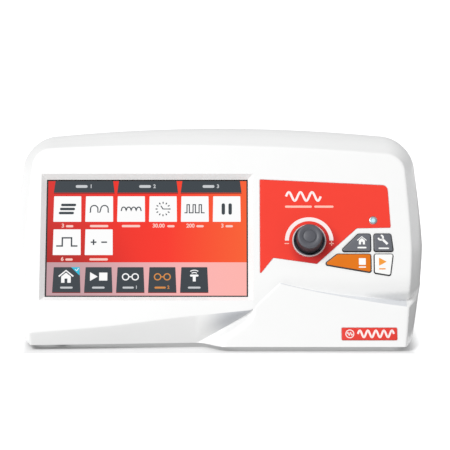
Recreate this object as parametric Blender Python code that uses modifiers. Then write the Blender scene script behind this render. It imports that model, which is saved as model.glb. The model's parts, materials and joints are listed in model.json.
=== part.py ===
"""A bench-top ultrasound therapy console, built as the separate pieces that it comes apart into.

Lengths are in millimetres, and the helpers turn them into metres. The world frame has X to the user's right,
Y to the back and Z up, with its origin under the middle of the console, on the surface it stands on.
Pieces of the control face are placed in the face frame instead: X across, Y up the tilted face and Z out
of it, with its origin at the middle of the casing's front lower edge.
"""

import math

import bmesh
import bpy
from mathutils import Matrix, Vector

MM = 0.001
GAP = 0.3

# Casing, seen from the side
CASING_DEPTH = 166.0
FRONT_Y = -CASING_DEPTH / 2
BACK_Y = CASING_DEPTH / 2
CASING_BOTTOM = 4.0
FACE_TILT = math.radians(26.0)
PARTING_DEPTH = 26.0
FRONT_WALL = 3.0
REAR_WALL = 2.5
TRIM_BELOW = 2.0

# The face's outline: half widths at three heights, the top edge and its corners
FACE_WIDTHS = ((0.0, 140.5), (77.0, 146.0), (141.0, 142.0))
FACE_TOP = 158.0
FACE_CROWN = 4.7
FACE_SKEW = 2.3
FACE_RADIUS = 15.0
CROWN_HALF_WIDTH = 129.0
CROWN = 6.5

# Folds of the face: (across, up), with a depth behind the face where it isn't zero
FACET_CREASE = ((-146.0, 10.4), (-81.0, 16.1), (-28.7, 22.7), (25.9, 28.6))
FACET_DEPTH = ((-146.0, 7.2), (-82.0, 11.7))
BAND_FOLD_START = (-16.3, 5.7)
BAND_FOLD_END = (25.9, 28.6)
BAND_FOLD_DEPTH = 11.7
BAND_RAMP = 20.0
BAND_EDGE = ((25.9, 28.6), (46.6, 48.8), (76.3, 42.0), (121.3, 33.9), (144.0, 30.8))
VALLEY_START = 46.6
VALLEY_END = 144.0
VALLEY_DEPTH = 8.0
VALLEY_TOP = 58.0
VALLEY_POWER = 2.5
SHELF_SLOPE = 0.68
LEAST_ROW = 2.5
UPPER_ROWS = (0.5, 0.8, 0.87, 0.94, 1.0)

# Columns of the face by their distance across at the bottom, and steps in half a corner's arc
FACE_COLUMNS = (
    *(-130.0, -112.0, -82.0, -50.0, -16.3, -9.0, -3.0, 3.0),
    *(14.0, 25.9, 36.0, 46.6, 75.0, 100.0, 118.0, 132.0),
)
ARC_STEPS = 3

# Sections behind the face: ends of their centre line (y, z), half widths (low, wide, high), corner radius
WIDTH_HEIGHTS = (0.0, 0.44, 0.82)
PARTING_BOTTOM = PARTING_DEPTH / math.cos(FACE_TILT)
PARTING_SECTION = ((FRONT_Y + PARTING_BOTTOM, 4.0), (18.2, 152.1), (147.0, 157.0, 151.6), 25.0)
REAR_SECTIONS = (
    ((-8.0, 4.0), (45.0, 151.4), (147.5, 155.5, 150.0), 26.0),
    ((35.0, 4.0), (67.0, 138.0), (143.0, 150.0, 144.0), 28.0),
    ((70.0, 4.0), (79.0, 121.0), (136.0, 141.0, 136.0), 28.0),
    ((BACK_Y, 4.0), (BACK_Y, 113.0), (131.0, 135.0, 130.0), 26.0),
)

# Display
DISPLAY_CENTRE = (-54.2, 85.6)
WINDOW_SIZE = (161.0, 99.4)
PICTURE_OPENING = (153.2, 92.2)
WINDOW_RIB_SIZE = (170.0, 108.0)
WINDOW_RIB_BACK = -3.7
WINDOW_RIB_FRONT = -1.5
GASKET_DEPTHS = (-4.6, -4.0)
TOUCH_PANEL_DEPTHS = (-6.3, -4.9)
DISPLAY_MODULE_DEPTHS = (-11.7, -6.6)
BRACKET_DEPTHS = (-13.2, -12.0)
BRACKET_LEG_INSET = (66.0, 42.0)
MAIN_BOARD_TOP = -20.0
TOUCH_PANEL_SIZE = (165.0, 104.0)
GASKET_SIZE = (163.0, 101.4)
GASKET_OPENING = (154.4, 93.4)
BRACKET_SIZE = (178.0, 100.0)
BRACKET_PEGS = (-140.6, 33.0)
MAIN_BOARD_SIZE = (150.0, 95.0)
BOARD_THICKNESS = 1.6
BOARD_HOLE_RADIUS = 1.5
PEG_RADIUS = 1.1
# Parts on the main board: place, size and how far they stand off its back
MAIN_BOARD_PARTS = (
    ((-60.0, 90.0), (18.0, 18.0), 1.6),
    ((-30.0, 95.0), (12.0, 10.0), 1.3),
    ((-95.0, 70.0), (22.0, 8.0), 7.0),
    ((0.0, 70.0), (9.0, 30.0), 8.0),
)

# Controls
LABEL_CORNERS = (
    (31.5, 130.7, 0.8),
    (128.4, 126.0, 4.0),
    (130.3, 92.8, 0.8),
    (104.7, 92.3, 0.8),
    (74.2, 64.4, 0.8),
    (41.4, 69.2, 0.8),
    (31.5, 58.0, 0.8),
)
POCKET_DEPTH = 0.5
LABEL_DEPTHS = (-0.2, 0.05)
LABEL_KNOB_HOLE = 13.8
LABEL_INDICATOR_HOLE = 3.2
BADGE_DEPTHS = (-0.2, 0.3)
BADGE_DRAFT = 0.5
BADGE_LOW = (92.3, 5.3)
BADGE_HIGH = (133.7, 14.7)
KNOB_CENTRE = (68.6, 82.5)
KNOB_WELL_RADIUS = 11.9
INDICATOR_CENTRE = (117.2, 98.4)
KEY_CORNER_RADIUS = 1.5
KEY_TOP = 0.9
KEY_TRAVEL = 0.8
KEY_CLEARANCE = 0.35
KEY_FLANGE = 0.75
KEY_FLANGE_DEPTHS = (-4.3, -3.4)
KEY_BACK = -4.0
KEYPAD_MAT_DEPTHS = (-6.4, -5.4)
KEYPAD_MAT_LOW = (83.5, 54.2)
KEYPAD_MAT_HIGH = (134.5, 90.5)
KEYS = {
    "home": (((105.6, 87.7), (115.1, 87.7), (115.1, 73.8), (92.6, 73.8)), (109.0, 79.5)),
    "settings": (((117.5, 87.7), (130.5, 87.7), (132.1, 73.8), (117.5, 73.8)), (124.5, 80.5)),
    "stop": (((89.6, 71.9), (115.1, 71.9), (115.1, 57.3), (80.9, 63.7)), (104.0, 65.5)),
    "start": (((117.5, 71.9), (132.0, 71.9), (129.6, 54.9), (117.5, 56.9)), (124.0, 64.5)),
}
SWITCH_TOP = -9.9
KEY_BOARD_TOP = -14.0
KEY_BOARD_LOW = (52.0, 53.0)
KEY_BOARD_HIGH = (134.0, 106.0)
KEY_BOARD_PEGS = ((56.0, 101.0), (100.0, 101.0), (131.0, 102.0), (56.0, 57.0))

# Base and rear panel
BASE_FRONT = ((-134.0, -65.5), (-4.0, -65.5), (16.0, -76.5), (134.0, -76.5))
BASE_SIDE = ((142.5, -51.0), (143.0, -8.0), (138.0, 35.0), (130.5, 69.0), (126.5, 78.0))
BASE_TOP = 6.5
BOARD_BOTTOM = 12.0
SCREW_PLACES = ((-118.0, -60.0), (118.0, -60.0), (-116.0, 72.0), (116.0, 72.0))
FOOT_PLACES = ((-122.0, -46.0), (122.0, -46.0), (-104.0, 62.0), (104.0, 62.0))
FOOT_HEIGHT = 3.7
PANEL_FRONT = 78.2
PANEL_BACK = 80.2
FLANGE_FRONT = PANEL_BACK + GAP
FLANGE_BACK = BACK_Y - 0.1
PANEL_HEIGHT = 50.0
INLET_X = 72.0
ROCKER_X = 30.0
ROCKER_PIVOT_Y = 75.6
ROCKER_TILT = math.radians(8.0)
SOCKET_FRONT = 62.0
CAVITY_FLOOR = 70.0
SOCKETS = {
    "ultrasound_socket": (-20.0, 11.0, 8.5, 6.5),
    "channel_1_socket": (-56.0, 9.0, 7.0, 5.0),
    "channel_2_socket": (-86.0, 9.0, 7.0, 5.0),
}
FUSE_RADIUS = 2.6
# The mains wires' bundle, from the inlet down to the power supply board
MAINS_WIRE_ROUTE = (
    *((66.0, 57.6, 56.0), (66.0, 53.0, 56.0), (65.0, 50.0, 53.0), (63.0, 48.0, 46.0)),
    *((58.0, 46.0, 30.0), (56.0, 45.0, 20.0), (56.0, 45.0, 14.0)),
)

# Circuit boards on the base: corners (x, y), each held on four moulded pegs
BASE_BOARDS = {
    "power_supply_board": ((20.0, -8.0), (122.0, 54.0)),
    "ultrasound_driver_board": ((-62.0, -8.0), (8.0, 54.0)),
    "stimulation_board": ((-128.0, -8.0), (-70.0, 50.0)),
}
PEG_INSET = 4.0

# Colour, roughness and metallic value of each kind of surface
FINISHES = {
    "white_plastic": ((0.86, 0.86, 0.85), 0.38, 0.0),
    "grey_plastic": ((0.10, 0.11, 0.12), 0.45, 0.0),
    "black_plastic": ((0.02, 0.02, 0.022), 0.5, 0.0),
    "orange_plastic": ((0.78, 0.20, 0.03), 0.4, 0.0),
    "red_film": ((0.90, 0.07, 0.05), 0.35, 0.0),
    "clear_plastic": ((0.75, 0.93, 1.0), 0.15, 0.0),
    "display": ((0.65, 0.05, 0.03), 0.15, 0.0),
    "rubber": ((0.03, 0.03, 0.03), 0.8, 0.0),
    "silicone": ((0.35, 0.36, 0.37), 0.7, 0.0),
    "circuit_board": ((0.01, 0.12, 0.05), 0.45, 0.0),
    "steel": ((0.60, 0.61, 0.62), 0.35, 1.0),
    "aluminium": ((0.75, 0.76, 0.77), 0.4, 1.0),
    "copper": ((0.72, 0.36, 0.20), 0.35, 1.0),
    "glass": ((0.85, 0.90, 0.90), 0.05, 0.0),
}


def clear_scene():
    for obj in list(bpy.data.objects):
        bpy.data.objects.remove(obj)


def collection(name):
    made = bpy.data.collections.new(name)
    bpy.context.scene.collection.children.link(made)
    return made


clear_scene()
PARTS = collection("ultrasound_therapy_console")
CUTTERS = collection("cutters")


def frame_empty(name, matrix):
    empty = bpy.data.objects.new(name, None)
    empty.matrix_world = matrix
    PARTS.objects.link(empty)
    bpy.context.view_layer.update()
    return empty


FACE = frame_empty(
    "face_frame",
    Matrix.Translation(Vector((0, FRONT_Y, CASING_BOTTOM)) * MM)
    @ Matrix.Rotation(math.pi / 2 - FACE_TILT, 4, "X"),
)
# A frame whose Z points out of the back, for what is turned about a front-to-back axis
BACK = frame_empty("back_frame", Matrix.Rotation(-math.pi / 2, 4, "X"))


# ---------------------------------------------------------------- helpers


def add_object(name, mesh, parent=None, helper=False):
    obj = bpy.data.objects.new(name, mesh)
    (CUTTERS if helper else PARTS).objects.link(obj)
    obj.parent = parent
    if helper:
        obj.hide_render = True
        obj.display_type = "WIRE"
    return obj


def finish(obj, kind):
    """Gives the object its own material and smooth shading between its sharp edges."""
    color, roughness, metallic = FINISHES[kind]
    material = bpy.data.materials.new(obj.name + "_" + kind)
    material.use_nodes = True
    shader = material.node_tree.nodes["Principled BSDF"]
    shader.inputs["Base Color"].default_value = (*color, 1)
    shader.inputs["Roughness"].default_value = roughness
    shader.inputs["Metallic"].default_value = metallic
    obj.data.materials.append(material)
    obj.data.shade_smooth()
    obj.data.set_sharp_from_angle(angle=math.radians(35))
    return obj


def box(name, low, high, parent=None, helper=False):
    """A box between two corners."""
    shape = bmesh.new()
    bmesh.ops.create_cube(shape, size=1)
    for vertex in shape.verts:
        share = [value + 0.5 for value in vertex.co]
        vertex.co = [(a + (b - a) * t) * MM for a, b, t in zip(low, high, share)]
    return from_bmesh(name, shape, parent, helper)


def frustum(name, centre, size_low, size_high, low, high, parent=None, helper=False):
    """A four-sided block whose lower and upper faces differ in size."""
    shape = bmesh.new()
    bmesh.ops.create_cube(shape, size=1)
    for vertex in shape.verts:
        size = size_high if vertex.co.z > 0 else size_low
        z = high if vertex.co.z > 0 else low
        vertex.co = Vector((centre[0] + vertex.co.x * size[0], centre[1] + vertex.co.y * size[1], z)) * MM
    return from_bmesh(name, shape, parent, helper)


def from_bmesh(name, shape, parent, helper):
    mesh = bpy.data.meshes.new(name)
    shape.to_mesh(mesh)
    shape.free()
    return add_object(name, mesh, parent, helper)


def cylinder(name, centre, radius, low, high, parent=None, helper=False, sides=20):
    """A round bar along the frame's Z."""
    shape = bmesh.new()
    size = radius * MM
    depth = (high - low) * MM
    bmesh.ops.create_cone(shape, cap_ends=True, segments=sides, radius1=size, radius2=size, depth=depth)
    bmesh.ops.translate(shape, verts=shape.verts, vec=Vector((*centre, (low + high) / 2)) * MM)
    return from_bmesh(name, shape, parent, helper)


def turned(name, profile, centre=(0, 0), parent=None, helper=False, sides=28, closed=True):
    """A turned shape about the frame's Z. The profile (radius, height) runs down its outer side."""
    mesh = bpy.data.meshes.new(name)
    edges = [(i, i + 1) for i in range(len(profile) - 1)]
    if closed:
        edges.append((len(profile) - 1, 0))
    mesh.from_pydata([(radius * MM, 0, height * MM) for radius, height in profile], edges, [])
    obj = add_object(name, mesh, parent, helper)
    obj.location = Vector((*centre, 0)) * MM
    screw = obj.modifiers.new("turn", "SCREW")
    screw.steps = sides
    screw.render_steps = sides
    screw.use_merge_vertices = True
    screw.merge_threshold = 0.00001
    return obj


def rounded(corners, radius=None, steps=3):
    """The outline through corners (x, y) or (x, y, radius), with each corner turned into an arc."""
    points = []
    count = len(corners)
    for i, corner in enumerate(corners):
        here = Vector(corner[:2])
        before = (Vector(corners[i - 1][:2]) - here).normalized()
        after = (Vector(corners[(i + 1) % count][:2]) - here).normalized()
        bend = corner[2] if radius is None else radius
        half_angle = before.angle(after) / 2
        centre = here + (before + after).normalized() * bend / math.sin(half_angle)
        start = here + before * bend / math.tan(half_angle) - centre
        turn = start.angle_signed(here + after * bend / math.tan(half_angle) - centre)
        for step in range(steps + 1):
            angle = -turn * step / steps
            spot = centre + Matrix.Rotation(angle, 2) @ start
            points.append((spot.x, spot.y))
    return points


def grown(corners, distance):
    """The same outline, clockwise, with every side moved outwards."""
    moved = []
    count = len(corners)
    for i, corner in enumerate(corners):
        here = Vector(corner)
        into = (here - Vector(corners[i - 1])).normalized()
        out = (Vector(corners[(i + 1) % count]) - here).normalized()
        normal = (Vector((-into.y, into.x)) + Vector((-out.y, out.x))).normalized()
        spot = here + normal * distance / normal.dot(Vector((-into.y, into.x)))
        moved.append((spot.x, spot.y))
    return moved


def circle(centre, radius, sides=16):
    turns = [2 * math.pi * i / sides for i in range(sides)]
    return [(centre[0] + radius * math.cos(turn), centre[1] + radius * math.sin(turn)) for turn in turns]


def rectangle(low, high):
    return [(low[0], low[1]), (low[0], high[1]), (high[0], high[1]), (high[0], low[1])]


def centred(centre, size):
    low = (centre[0] - size[0] / 2, centre[1] - size[1] / 2)
    high = (centre[0] + size[0] / 2, centre[1] + size[1] / 2)
    return rectangle(low, high)


def plate(name, outlines, low, high, parent=None, helper=False):
    """A flat piece between two heights. The first outline is its edge, and any others are holes in it."""
    curve = bpy.data.curves.new(name, "CURVE")
    curve.dimensions = "2D"
    curve.fill_mode = "BOTH"
    curve.extrude = (high - low) / 2 * MM
    for outline in outlines:
        spline = curve.splines.new("POLY")
        spline.points.add(len(outline) - 1)
        for point, (x, y) in zip(spline.points, outline):
            point.co = (x * MM, y * MM, 0, 1)
        spline.use_cyclic_u = True
    return curve_to_mesh(name, curve, (0, 0, (low + high) / 2), parent, helper)


def wire(name, points, radius, parent=None):
    """A round wire through points."""
    curve = bpy.data.curves.new(name, "CURVE")
    curve.dimensions = "3D"
    curve.bevel_depth = radius * MM
    curve.bevel_resolution = 2
    curve.use_fill_caps = True
    spline = curve.splines.new("POLY")
    spline.points.add(len(points) - 1)
    for point, place in zip(spline.points, points):
        point.co = (*(Vector(place) * MM), 1)
    return curve_to_mesh(name, curve, (0, 0, 0), parent, False)


def curve_to_mesh(name, curve, shift, parent, helper):
    guide = bpy.data.objects.new(name + "_guide", curve)
    CUTTERS.objects.link(guide)
    bpy.context.view_layer.update()
    mesh = bpy.data.meshes.new_from_object(guide.evaluated_get(bpy.context.evaluated_depsgraph_get()))
    bpy.data.objects.remove(guide)
    shape = bmesh.new()
    shape.from_mesh(mesh)
    bmesh.ops.remove_doubles(shape, verts=shape.verts, dist=0.00001)
    bmesh.ops.translate(shape, verts=shape.verts, vec=Vector(shift) * MM)
    shape.to_mesh(mesh)
    shape.free()
    mesh.name = name
    return add_object(name, mesh, parent, helper)


def boolean(obj, tool, operation):
    modifier = obj.modifiers.new(tool.name, "BOOLEAN")
    modifier.operation = operation
    modifier.object = tool
    modifier.solver = "EXACT"


def cut(obj, *tools):
    for tool in tools:
        boolean(obj, tool, "DIFFERENCE")


def join(obj, *tools):
    for tool in tools:
        boolean(obj, tool, "UNION")


# ---------------------------------------------------------------- casing surface


def along(points, x, column=1):
    """The value at x on a broken line of points whose first number is their x."""
    if x <= points[0][0]:
        return points[0][column]
    for (x0, *v0), (x1, *v1) in zip(points, points[1:]):
        if x <= x1:
            share = (x - x0) / (x1 - x0)
            return v0[column - 1] + (v1[column - 1] - v0[column - 1]) * share
    return points[-1][column]


def half_width(widths, height):
    """Bulging sides: a parabola below the widest point and another above it."""
    (low, low_width), (middle, wide), (high, high_width) = widths
    end, end_width = (low, low_width) if height < middle else (high, high_width)
    return wide - (wide - end_width) * ((height - middle) / (end - middle)) ** 2


def smooth(share):
    share = min(max(share, 0), 1)
    return share * share * (3 - 2 * share)


def band_depth(across, up):
    """Depth of the ramp by which the raised band comes forward from its fold."""
    (start_x, start_y), (end_x, end_y) = BAND_FOLD_START, BAND_FOLD_END
    share = min(max((up - start_y) / (end_y - start_y), 0), 1)
    depth = BAND_FOLD_DEPTH * (1 - share)
    if depth == 0:
        return 0
    ramp = BAND_RAMP * depth / BAND_FOLD_DEPTH
    return depth * (1 - smooth((across - start_x - (end_x - start_x) * share) / ramp))


def lower_rows(across):
    """Rows of one column of the face up to the valley's top, as (up, depth)."""
    (fold_x, fold_y), (end_x, end_y) = BAND_FOLD_START, BAND_FOLD_END
    crease = (along(FACET_CREASE, across), 0)
    if across <= fold_x:
        depth = along(FACET_DEPTH, across)
        bottom = (depth * math.tan(FACE_TILT), depth)
        third = [(bottom[0] + (crease[0] - bottom[0]) * i / 3, depth * (1 - i / 3)) for i in (1, 2)]
        rows = [bottom, *third, crease]
        valley = 0
    elif across < end_x:
        share = (across - fold_x) / (end_x - fold_x)
        fold = (fold_y + (end_y - fold_y) * share, BAND_FOLD_DEPTH * (1 - share))
        depth = band_depth(across, 0)
        bottom = (depth * math.tan(FACE_TILT), depth)
        shoulder_up = (bottom[0] + fold[0]) / 2
        rows = [bottom, (shoulder_up, band_depth(across, shoulder_up)), fold, crease]
        valley = 0
    else:
        edge = along(BAND_EDGE, across)
        share = min(max((across - VALLEY_START) / (VALLEY_END - VALLEY_START), 0), 1)
        valley = VALLEY_DEPTH * share**1.3
        floor = edge + max(SHELF_SLOPE * valley, LEAST_ROW)
        rows = [(0, 0), (edge / 2, 0), (edge, 0), (floor, valley)]
    floor = rows[-1][0]
    for share in (0.35, 0.7):
        rows.append((floor + (VALLEY_TOP - floor) * share, valley * (1 - share) ** VALLEY_POWER))
    rows.append((VALLEY_TOP, 0))
    below = (Vector(rows[0]) - Vector(rows[1])).normalized() * TRIM_BELOW
    rows[0] = tuple(Vector(rows[0]) + below)
    return rows


def top_edge(across):
    share = across / CROWN_HALF_WIDTH
    return FACE_TOP - FACE_CROWN * share * share - FACE_SKEW * share


def corner_arc(side, widths, top, radius):
    """Points of a top corner from its lower end round to its upper end, as (across, up)."""
    outer = half_width(widths, top(side * (widths[2][1] - radius)) - radius)
    start = top(side * (outer - radius)) - radius
    outer = half_width(widths, start)
    steps = 2 * ARC_STEPS
    turns = [math.pi / 2 * i / steps for i in range(steps + 1)]
    return [(side * (outer - radius + radius * math.cos(t)), start + radius * math.sin(t)) for t in turns]


def face_grid():
    """The face as columns of world points, left to right, each from the bottom up."""
    arcs = {side: corner_arc(side, FACE_WIDTHS, top_edge, FACE_RADIUS) for side in (-1, 1)}
    columns = []
    for side in (-1, 1):
        rows = lower_rows(side * FACE_WIDTHS[0][1])
        column = [(side * half_width(FACE_WIDTHS, up), up, depth) for up, depth in rows]
        arc = arcs[side]
        middle = (VALLEY_TOP + arc[0][1]) / 2
        column.append((side * half_width(FACE_WIDTHS, middle), middle, 0))
        column += [(x, y, 0) for x, y in arc[: ARC_STEPS + 1]]
        columns.append(column)
    left, right = columns
    tops = [(x, y) for x, y in arcs[-1][ARC_STEPS + 1 :]]
    flat = len(FACE_COLUMNS) - 2 * ARC_STEPS
    first, last = arcs[-1][-1][0], arcs[1][-1][0]
    for i in range(1, flat + 1):
        x = first + (last - first) * i / (flat + 1)
        tops.append((x, top_edge(x)))
    tops += [(x, y) for x, y in reversed(arcs[1][ARC_STEPS + 1 :])]
    inner = []
    for across, (top_x, top_y) in zip(FACE_COLUMNS, tops):
        column = [(across, up, depth) for up, depth in lower_rows(across)]
        for share in UPPER_ROWS:
            column.append((across + (top_x - across) * share, VALLEY_TOP + (top_y - VALLEY_TOP) * share, 0))
        inner.append(column)
    grid = []
    for column in (left, *inner, right):
        grid.append([FACE.matrix_world @ (Vector((x, y, -depth)) * MM) for x, y, depth in column])
    return grid


def rim_of(grid):
    """The face's edge as one line: up the left side, along the top and down the right side."""
    return grid[0] + [column[-1] for column in grid[1:-1]] + grid[-1][::-1]


def section_line(section, grid):
    """A casing section behind the face, with a point for each point of the face's edge."""
    (bottom_y, bottom_z), (top_y, top_z), widths, radius = section
    bottom = Vector((0, bottom_y, bottom_z))
    up_line = Vector((0, top_y, top_z)) - bottom
    length = up_line.length
    up_line.normalize()
    places = [(share * length, width) for share, width in zip(WIDTH_HEIGHTS, widths)]

    def top(across):
        return length - CROWN * (across / CROWN_HALF_WIDTH) ** 2

    sides = {}
    for side, column in ((-1, grid[0]), (1, grid[-1])):
        arc = corner_arc(side, places, top, radius)
        straight = column[: -ARC_STEPS]
        low, high = straight[0].z, straight[-1].z
        heights = [(point.z - low) / (high - low) * arc[0][1] for point in straight]
        line = [(side * half_width(places, height), height) for height in heights]
        line[0] = (line[0][0], -TRIM_BELOW)
        sides[side] = (line + arc[1 : ARC_STEPS + 1], arc[ARC_STEPS + 1 :])
    tops = [column[-1].x / MM for column in grid[1:-1]]
    flat = tops[ARC_STEPS:-ARC_STEPS]
    scale = sides[1][1][-1][0] / (tops[-ARC_STEPS])
    crown = [(x * scale, top(x * scale)) for x in flat]
    points = sides[-1][0] + sides[-1][1] + crown + sides[1][1][::-1] + sides[1][0][::-1]
    return [(bottom + up_line * v + Vector((x, 0, 0))) * MM for x, v in points]


def casing_skin():
    """The casing's outer surface, open underneath: face, rim, tapering rear and back wall."""
    shape = bmesh.new()
    grid = face_grid()
    rows = [[shape.verts.new(point) for point in column] for column in grid]
    for left, right in zip(rows, rows[1:]):
        for i in range(len(left) - 1):
            shape.faces.new((left[i], right[i], right[i + 1], left[i + 1]))
    ring = rim_of(rows)
    for section in (PARTING_SECTION, *REAR_SECTIONS):
        next_ring = [shape.verts.new(point) for point in section_line(section, grid)]
        for i in range(len(ring) - 1):
            shape.faces.new((ring[i], ring[i + 1], next_ring[i + 1], next_ring[i]))
        ring = next_ring
    shape.faces.new(ring)
    bmesh.ops.recalc_face_normals(shape, faces=shape.faces)
    mesh = bpy.data.meshes.new("casing_skin")
    shape.to_mesh(mesh)
    shape.free()
    return mesh


def casing_half(name, mesh, wall):
    obj = add_object(name, mesh.copy())
    solidify = obj.modifiers.new("wall", "SOLIDIFY")
    solidify.thickness = wall * MM
    solidify.offset = -1
    solidify.use_even_offset = True
    return obj


# ---------------------------------------------------------------- casing parts


def casing():
    skin = casing_skin()
    front = casing_half("front_shell", skin, FRONT_WALL)
    rear = casing_half("rear_shell", skin, REAR_WALL)
    behind = box("behind_parting", (-200, -50, -300), (200, 250, -PARTING_DEPTH), FACE, True)
    ahead = box("ahead_of_parting", (-200, -50, -PARTING_DEPTH - GAP), (200, 250, 60), FACE, True)
    below = box("below_casing", (-200, -120, -20), (200, 120, CASING_BOTTOM), helper=True)
    cut(front, behind, below)
    cut(rear, ahead, below)
    shell_bosses(front, rear)
    display_window(front)
    control_openings(front)
    rear_openings(rear)
    finish(front, "white_plastic")
    finish(rear, "white_plastic")
    bpy.data.meshes.remove(skin)


def shell_bosses(front, rear):
    """Screw bosses inside the shells, each tied to the wall by a gusset and bored for its screw."""
    for i, (x, y) in enumerate(SCREW_PLACES):
        in_front = y < 0
        boss = cylinder(f"boss_{i}", (x, y), 4.0, BASE_TOP + GAP, 24, helper=True)
        near, far = (y - 12.5, y - 1) if in_front else (y + 1, y + 9.5)
        gusset = box(f"gusset_{i}", (x - 1.3, near, 12), (x + 1.3, far, 23), helper=True)
        bore = cylinder(f"bore_{i}", (x, y), 1.9, 0, 21, helper=True)
        shell = front if in_front else rear
        join(shell, boss, gusset)
        cut(shell, bore)


def display_window(front):
    size = WINDOW_RIB_SIZE
    rib = frustum("window_rib", DISPLAY_CENTRE, size, size, WINDOW_RIB_BACK, WINDOW_RIB_FRONT, FACE, True)
    slope = [(wide - narrow) / -WINDOW_RIB_BACK for wide, narrow in zip(WINDOW_SIZE, PICTURE_OPENING)]
    inner = [size - grow for size, grow in zip(PICTURE_OPENING, slope)]
    outer = [size + grow for size, grow in zip(WINDOW_SIZE, slope)]
    window = frustum("window_opening", DISPLAY_CENTRE, inner, outer, WINDOW_RIB_BACK - 1, 1, FACE, True)
    join(front, rib)
    for i, x in enumerate(BRACKET_PEGS):
        for j, rise in enumerate((-30.0, 30.0)):
            place = (x, DISPLAY_CENTRE[1] + rise)
            join(front, cylinder(f"bracket_post_{i}{j}", place, 2.6, -11.7, -2.4, FACE, True, 12))
            join(front, cylinder(f"bracket_peg_{i}{j}", place, 1.1, -14.2, -11.0, FACE, True, 8))
    cut(front, window)


def control_openings(front):
    """Pockets for the label and the badge, holes for the knob well, the indicator and the keys, and posts."""
    pocket = [(x, y, radius + GAP) for x, y, radius in LABEL_CORNERS]
    edge = [(x, y, pocket[i][2]) for i, (x, y) in enumerate(grown([corner[:2] for corner in pocket], GAP))]
    cut(front, plate("label_pocket", [rounded(edge)], -POCKET_DEPTH, 2, FACE, True))
    low = (BADGE_LOW[0] - GAP, BADGE_LOW[1] - GAP, -POCKET_DEPTH)
    high = (BADGE_HIGH[0] + GAP, BADGE_HIGH[1] + GAP, 2)
    cut(front, box("badge_pocket", low, high, FACE, True))
    cut(front, cylinder("well_hole", KNOB_CENTRE, KNOB_WELL_RADIUS + GAP, -8, 3, FACE, True, 28))
    cut(front, cylinder("indicator_hole", INDICATOR_CENTRE, 2.6, -8, 3, FACE, True, 16))
    for name, (corners, _) in KEYS.items():
        outline = rounded(grown(corners, KEY_CLEARANCE), KEY_CORNER_RADIUS)
        cut(front, plate(f"{name}_hole", [outline], -8, 3, FACE, True))
    for i, place in enumerate(KEY_BOARD_PEGS):
        join(front, cylinder(f"board_post_{i}", place, 2.6, KEY_BOARD_TOP + GAP, -2.4, FACE, True, 12))
        join(front, cylinder(f"board_peg_{i}", place, 1.1, KEY_BOARD_TOP - 2.4, -13, FACE, True, 8))


def rear_openings(rear):
    cut(rear, box("panel_opening", (-99, 75, 22), (99, 90, 78), helper=True))
    for i in range(12):
        x = (i - 5.5) * 11
        cut(rear, box(f"vent_{i}", (x - 2.5, 75, 86), (x + 2.5, 90, 99), helper=True))


def base_plate():
    holes = [circle(place, 2.0, 12) for place in SCREW_PLACES]
    for row in range(2):
        for i in range(6):
            x = (-95, 55)[row] + i * 8
            holes.append(rectangle((x, -48), (x + 4, -18)))
    outline = [*BASE_FRONT, *BASE_SIDE, *((-x, y) for x, y in reversed(BASE_SIDE))]
    base = plate("base_plate", [outline, *holes], CASING_BOTTOM, BASE_TOP)
    for name, (low, high) in BASE_BOARDS.items():
        for i, (x, y) in enumerate(board_holes(low, high)):
            top = BOARD_BOTTOM - GAP
            join(base, cylinder(f"{name}_post_{i}", (x, y), 3.0, BASE_TOP - 1, top, None, True, 10))
            join(base, cylinder(f"{name}_peg_{i}", (x, y), PEG_RADIUS, BOARD_BOTTOM - 1, 15, None, True, 8))
    for side in (-1, 1):
        near, far = sorted((side * 94, side * 101))
        low = (near, PANEL_FRONT - 3.3, BASE_TOP - 1)
        join(base, box(f"panel_stop_{side}", low, (far, PANEL_FRONT - GAP, 30), helper=True))
    finish(base, "white_plastic")


def screws_and_feet():
    head, shank = 3.4, 1.5
    profile = ((0, 19), (1.0, 19), (shank, 18), (shank, 3.7), (head, 3.7), (head, 2.6), (2.4, 1.9), (0, 1.9))
    foot = ((0, FOOT_HEIGHT), (8, FOOT_HEIGHT), (8, 0.8), (7.2, 0), (0, 0))
    for i, place in enumerate(SCREW_PLACES):
        finish(turned(f"base_screw_{i + 1}", profile, place, sides=12, closed=False), "steel")
    for i, place in enumerate(FOOT_PLACES):
        finish(turned(f"foot_{i + 1}", foot, place, sides=20, closed=False), "rubber")


# ---------------------------------------------------------------- display


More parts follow.
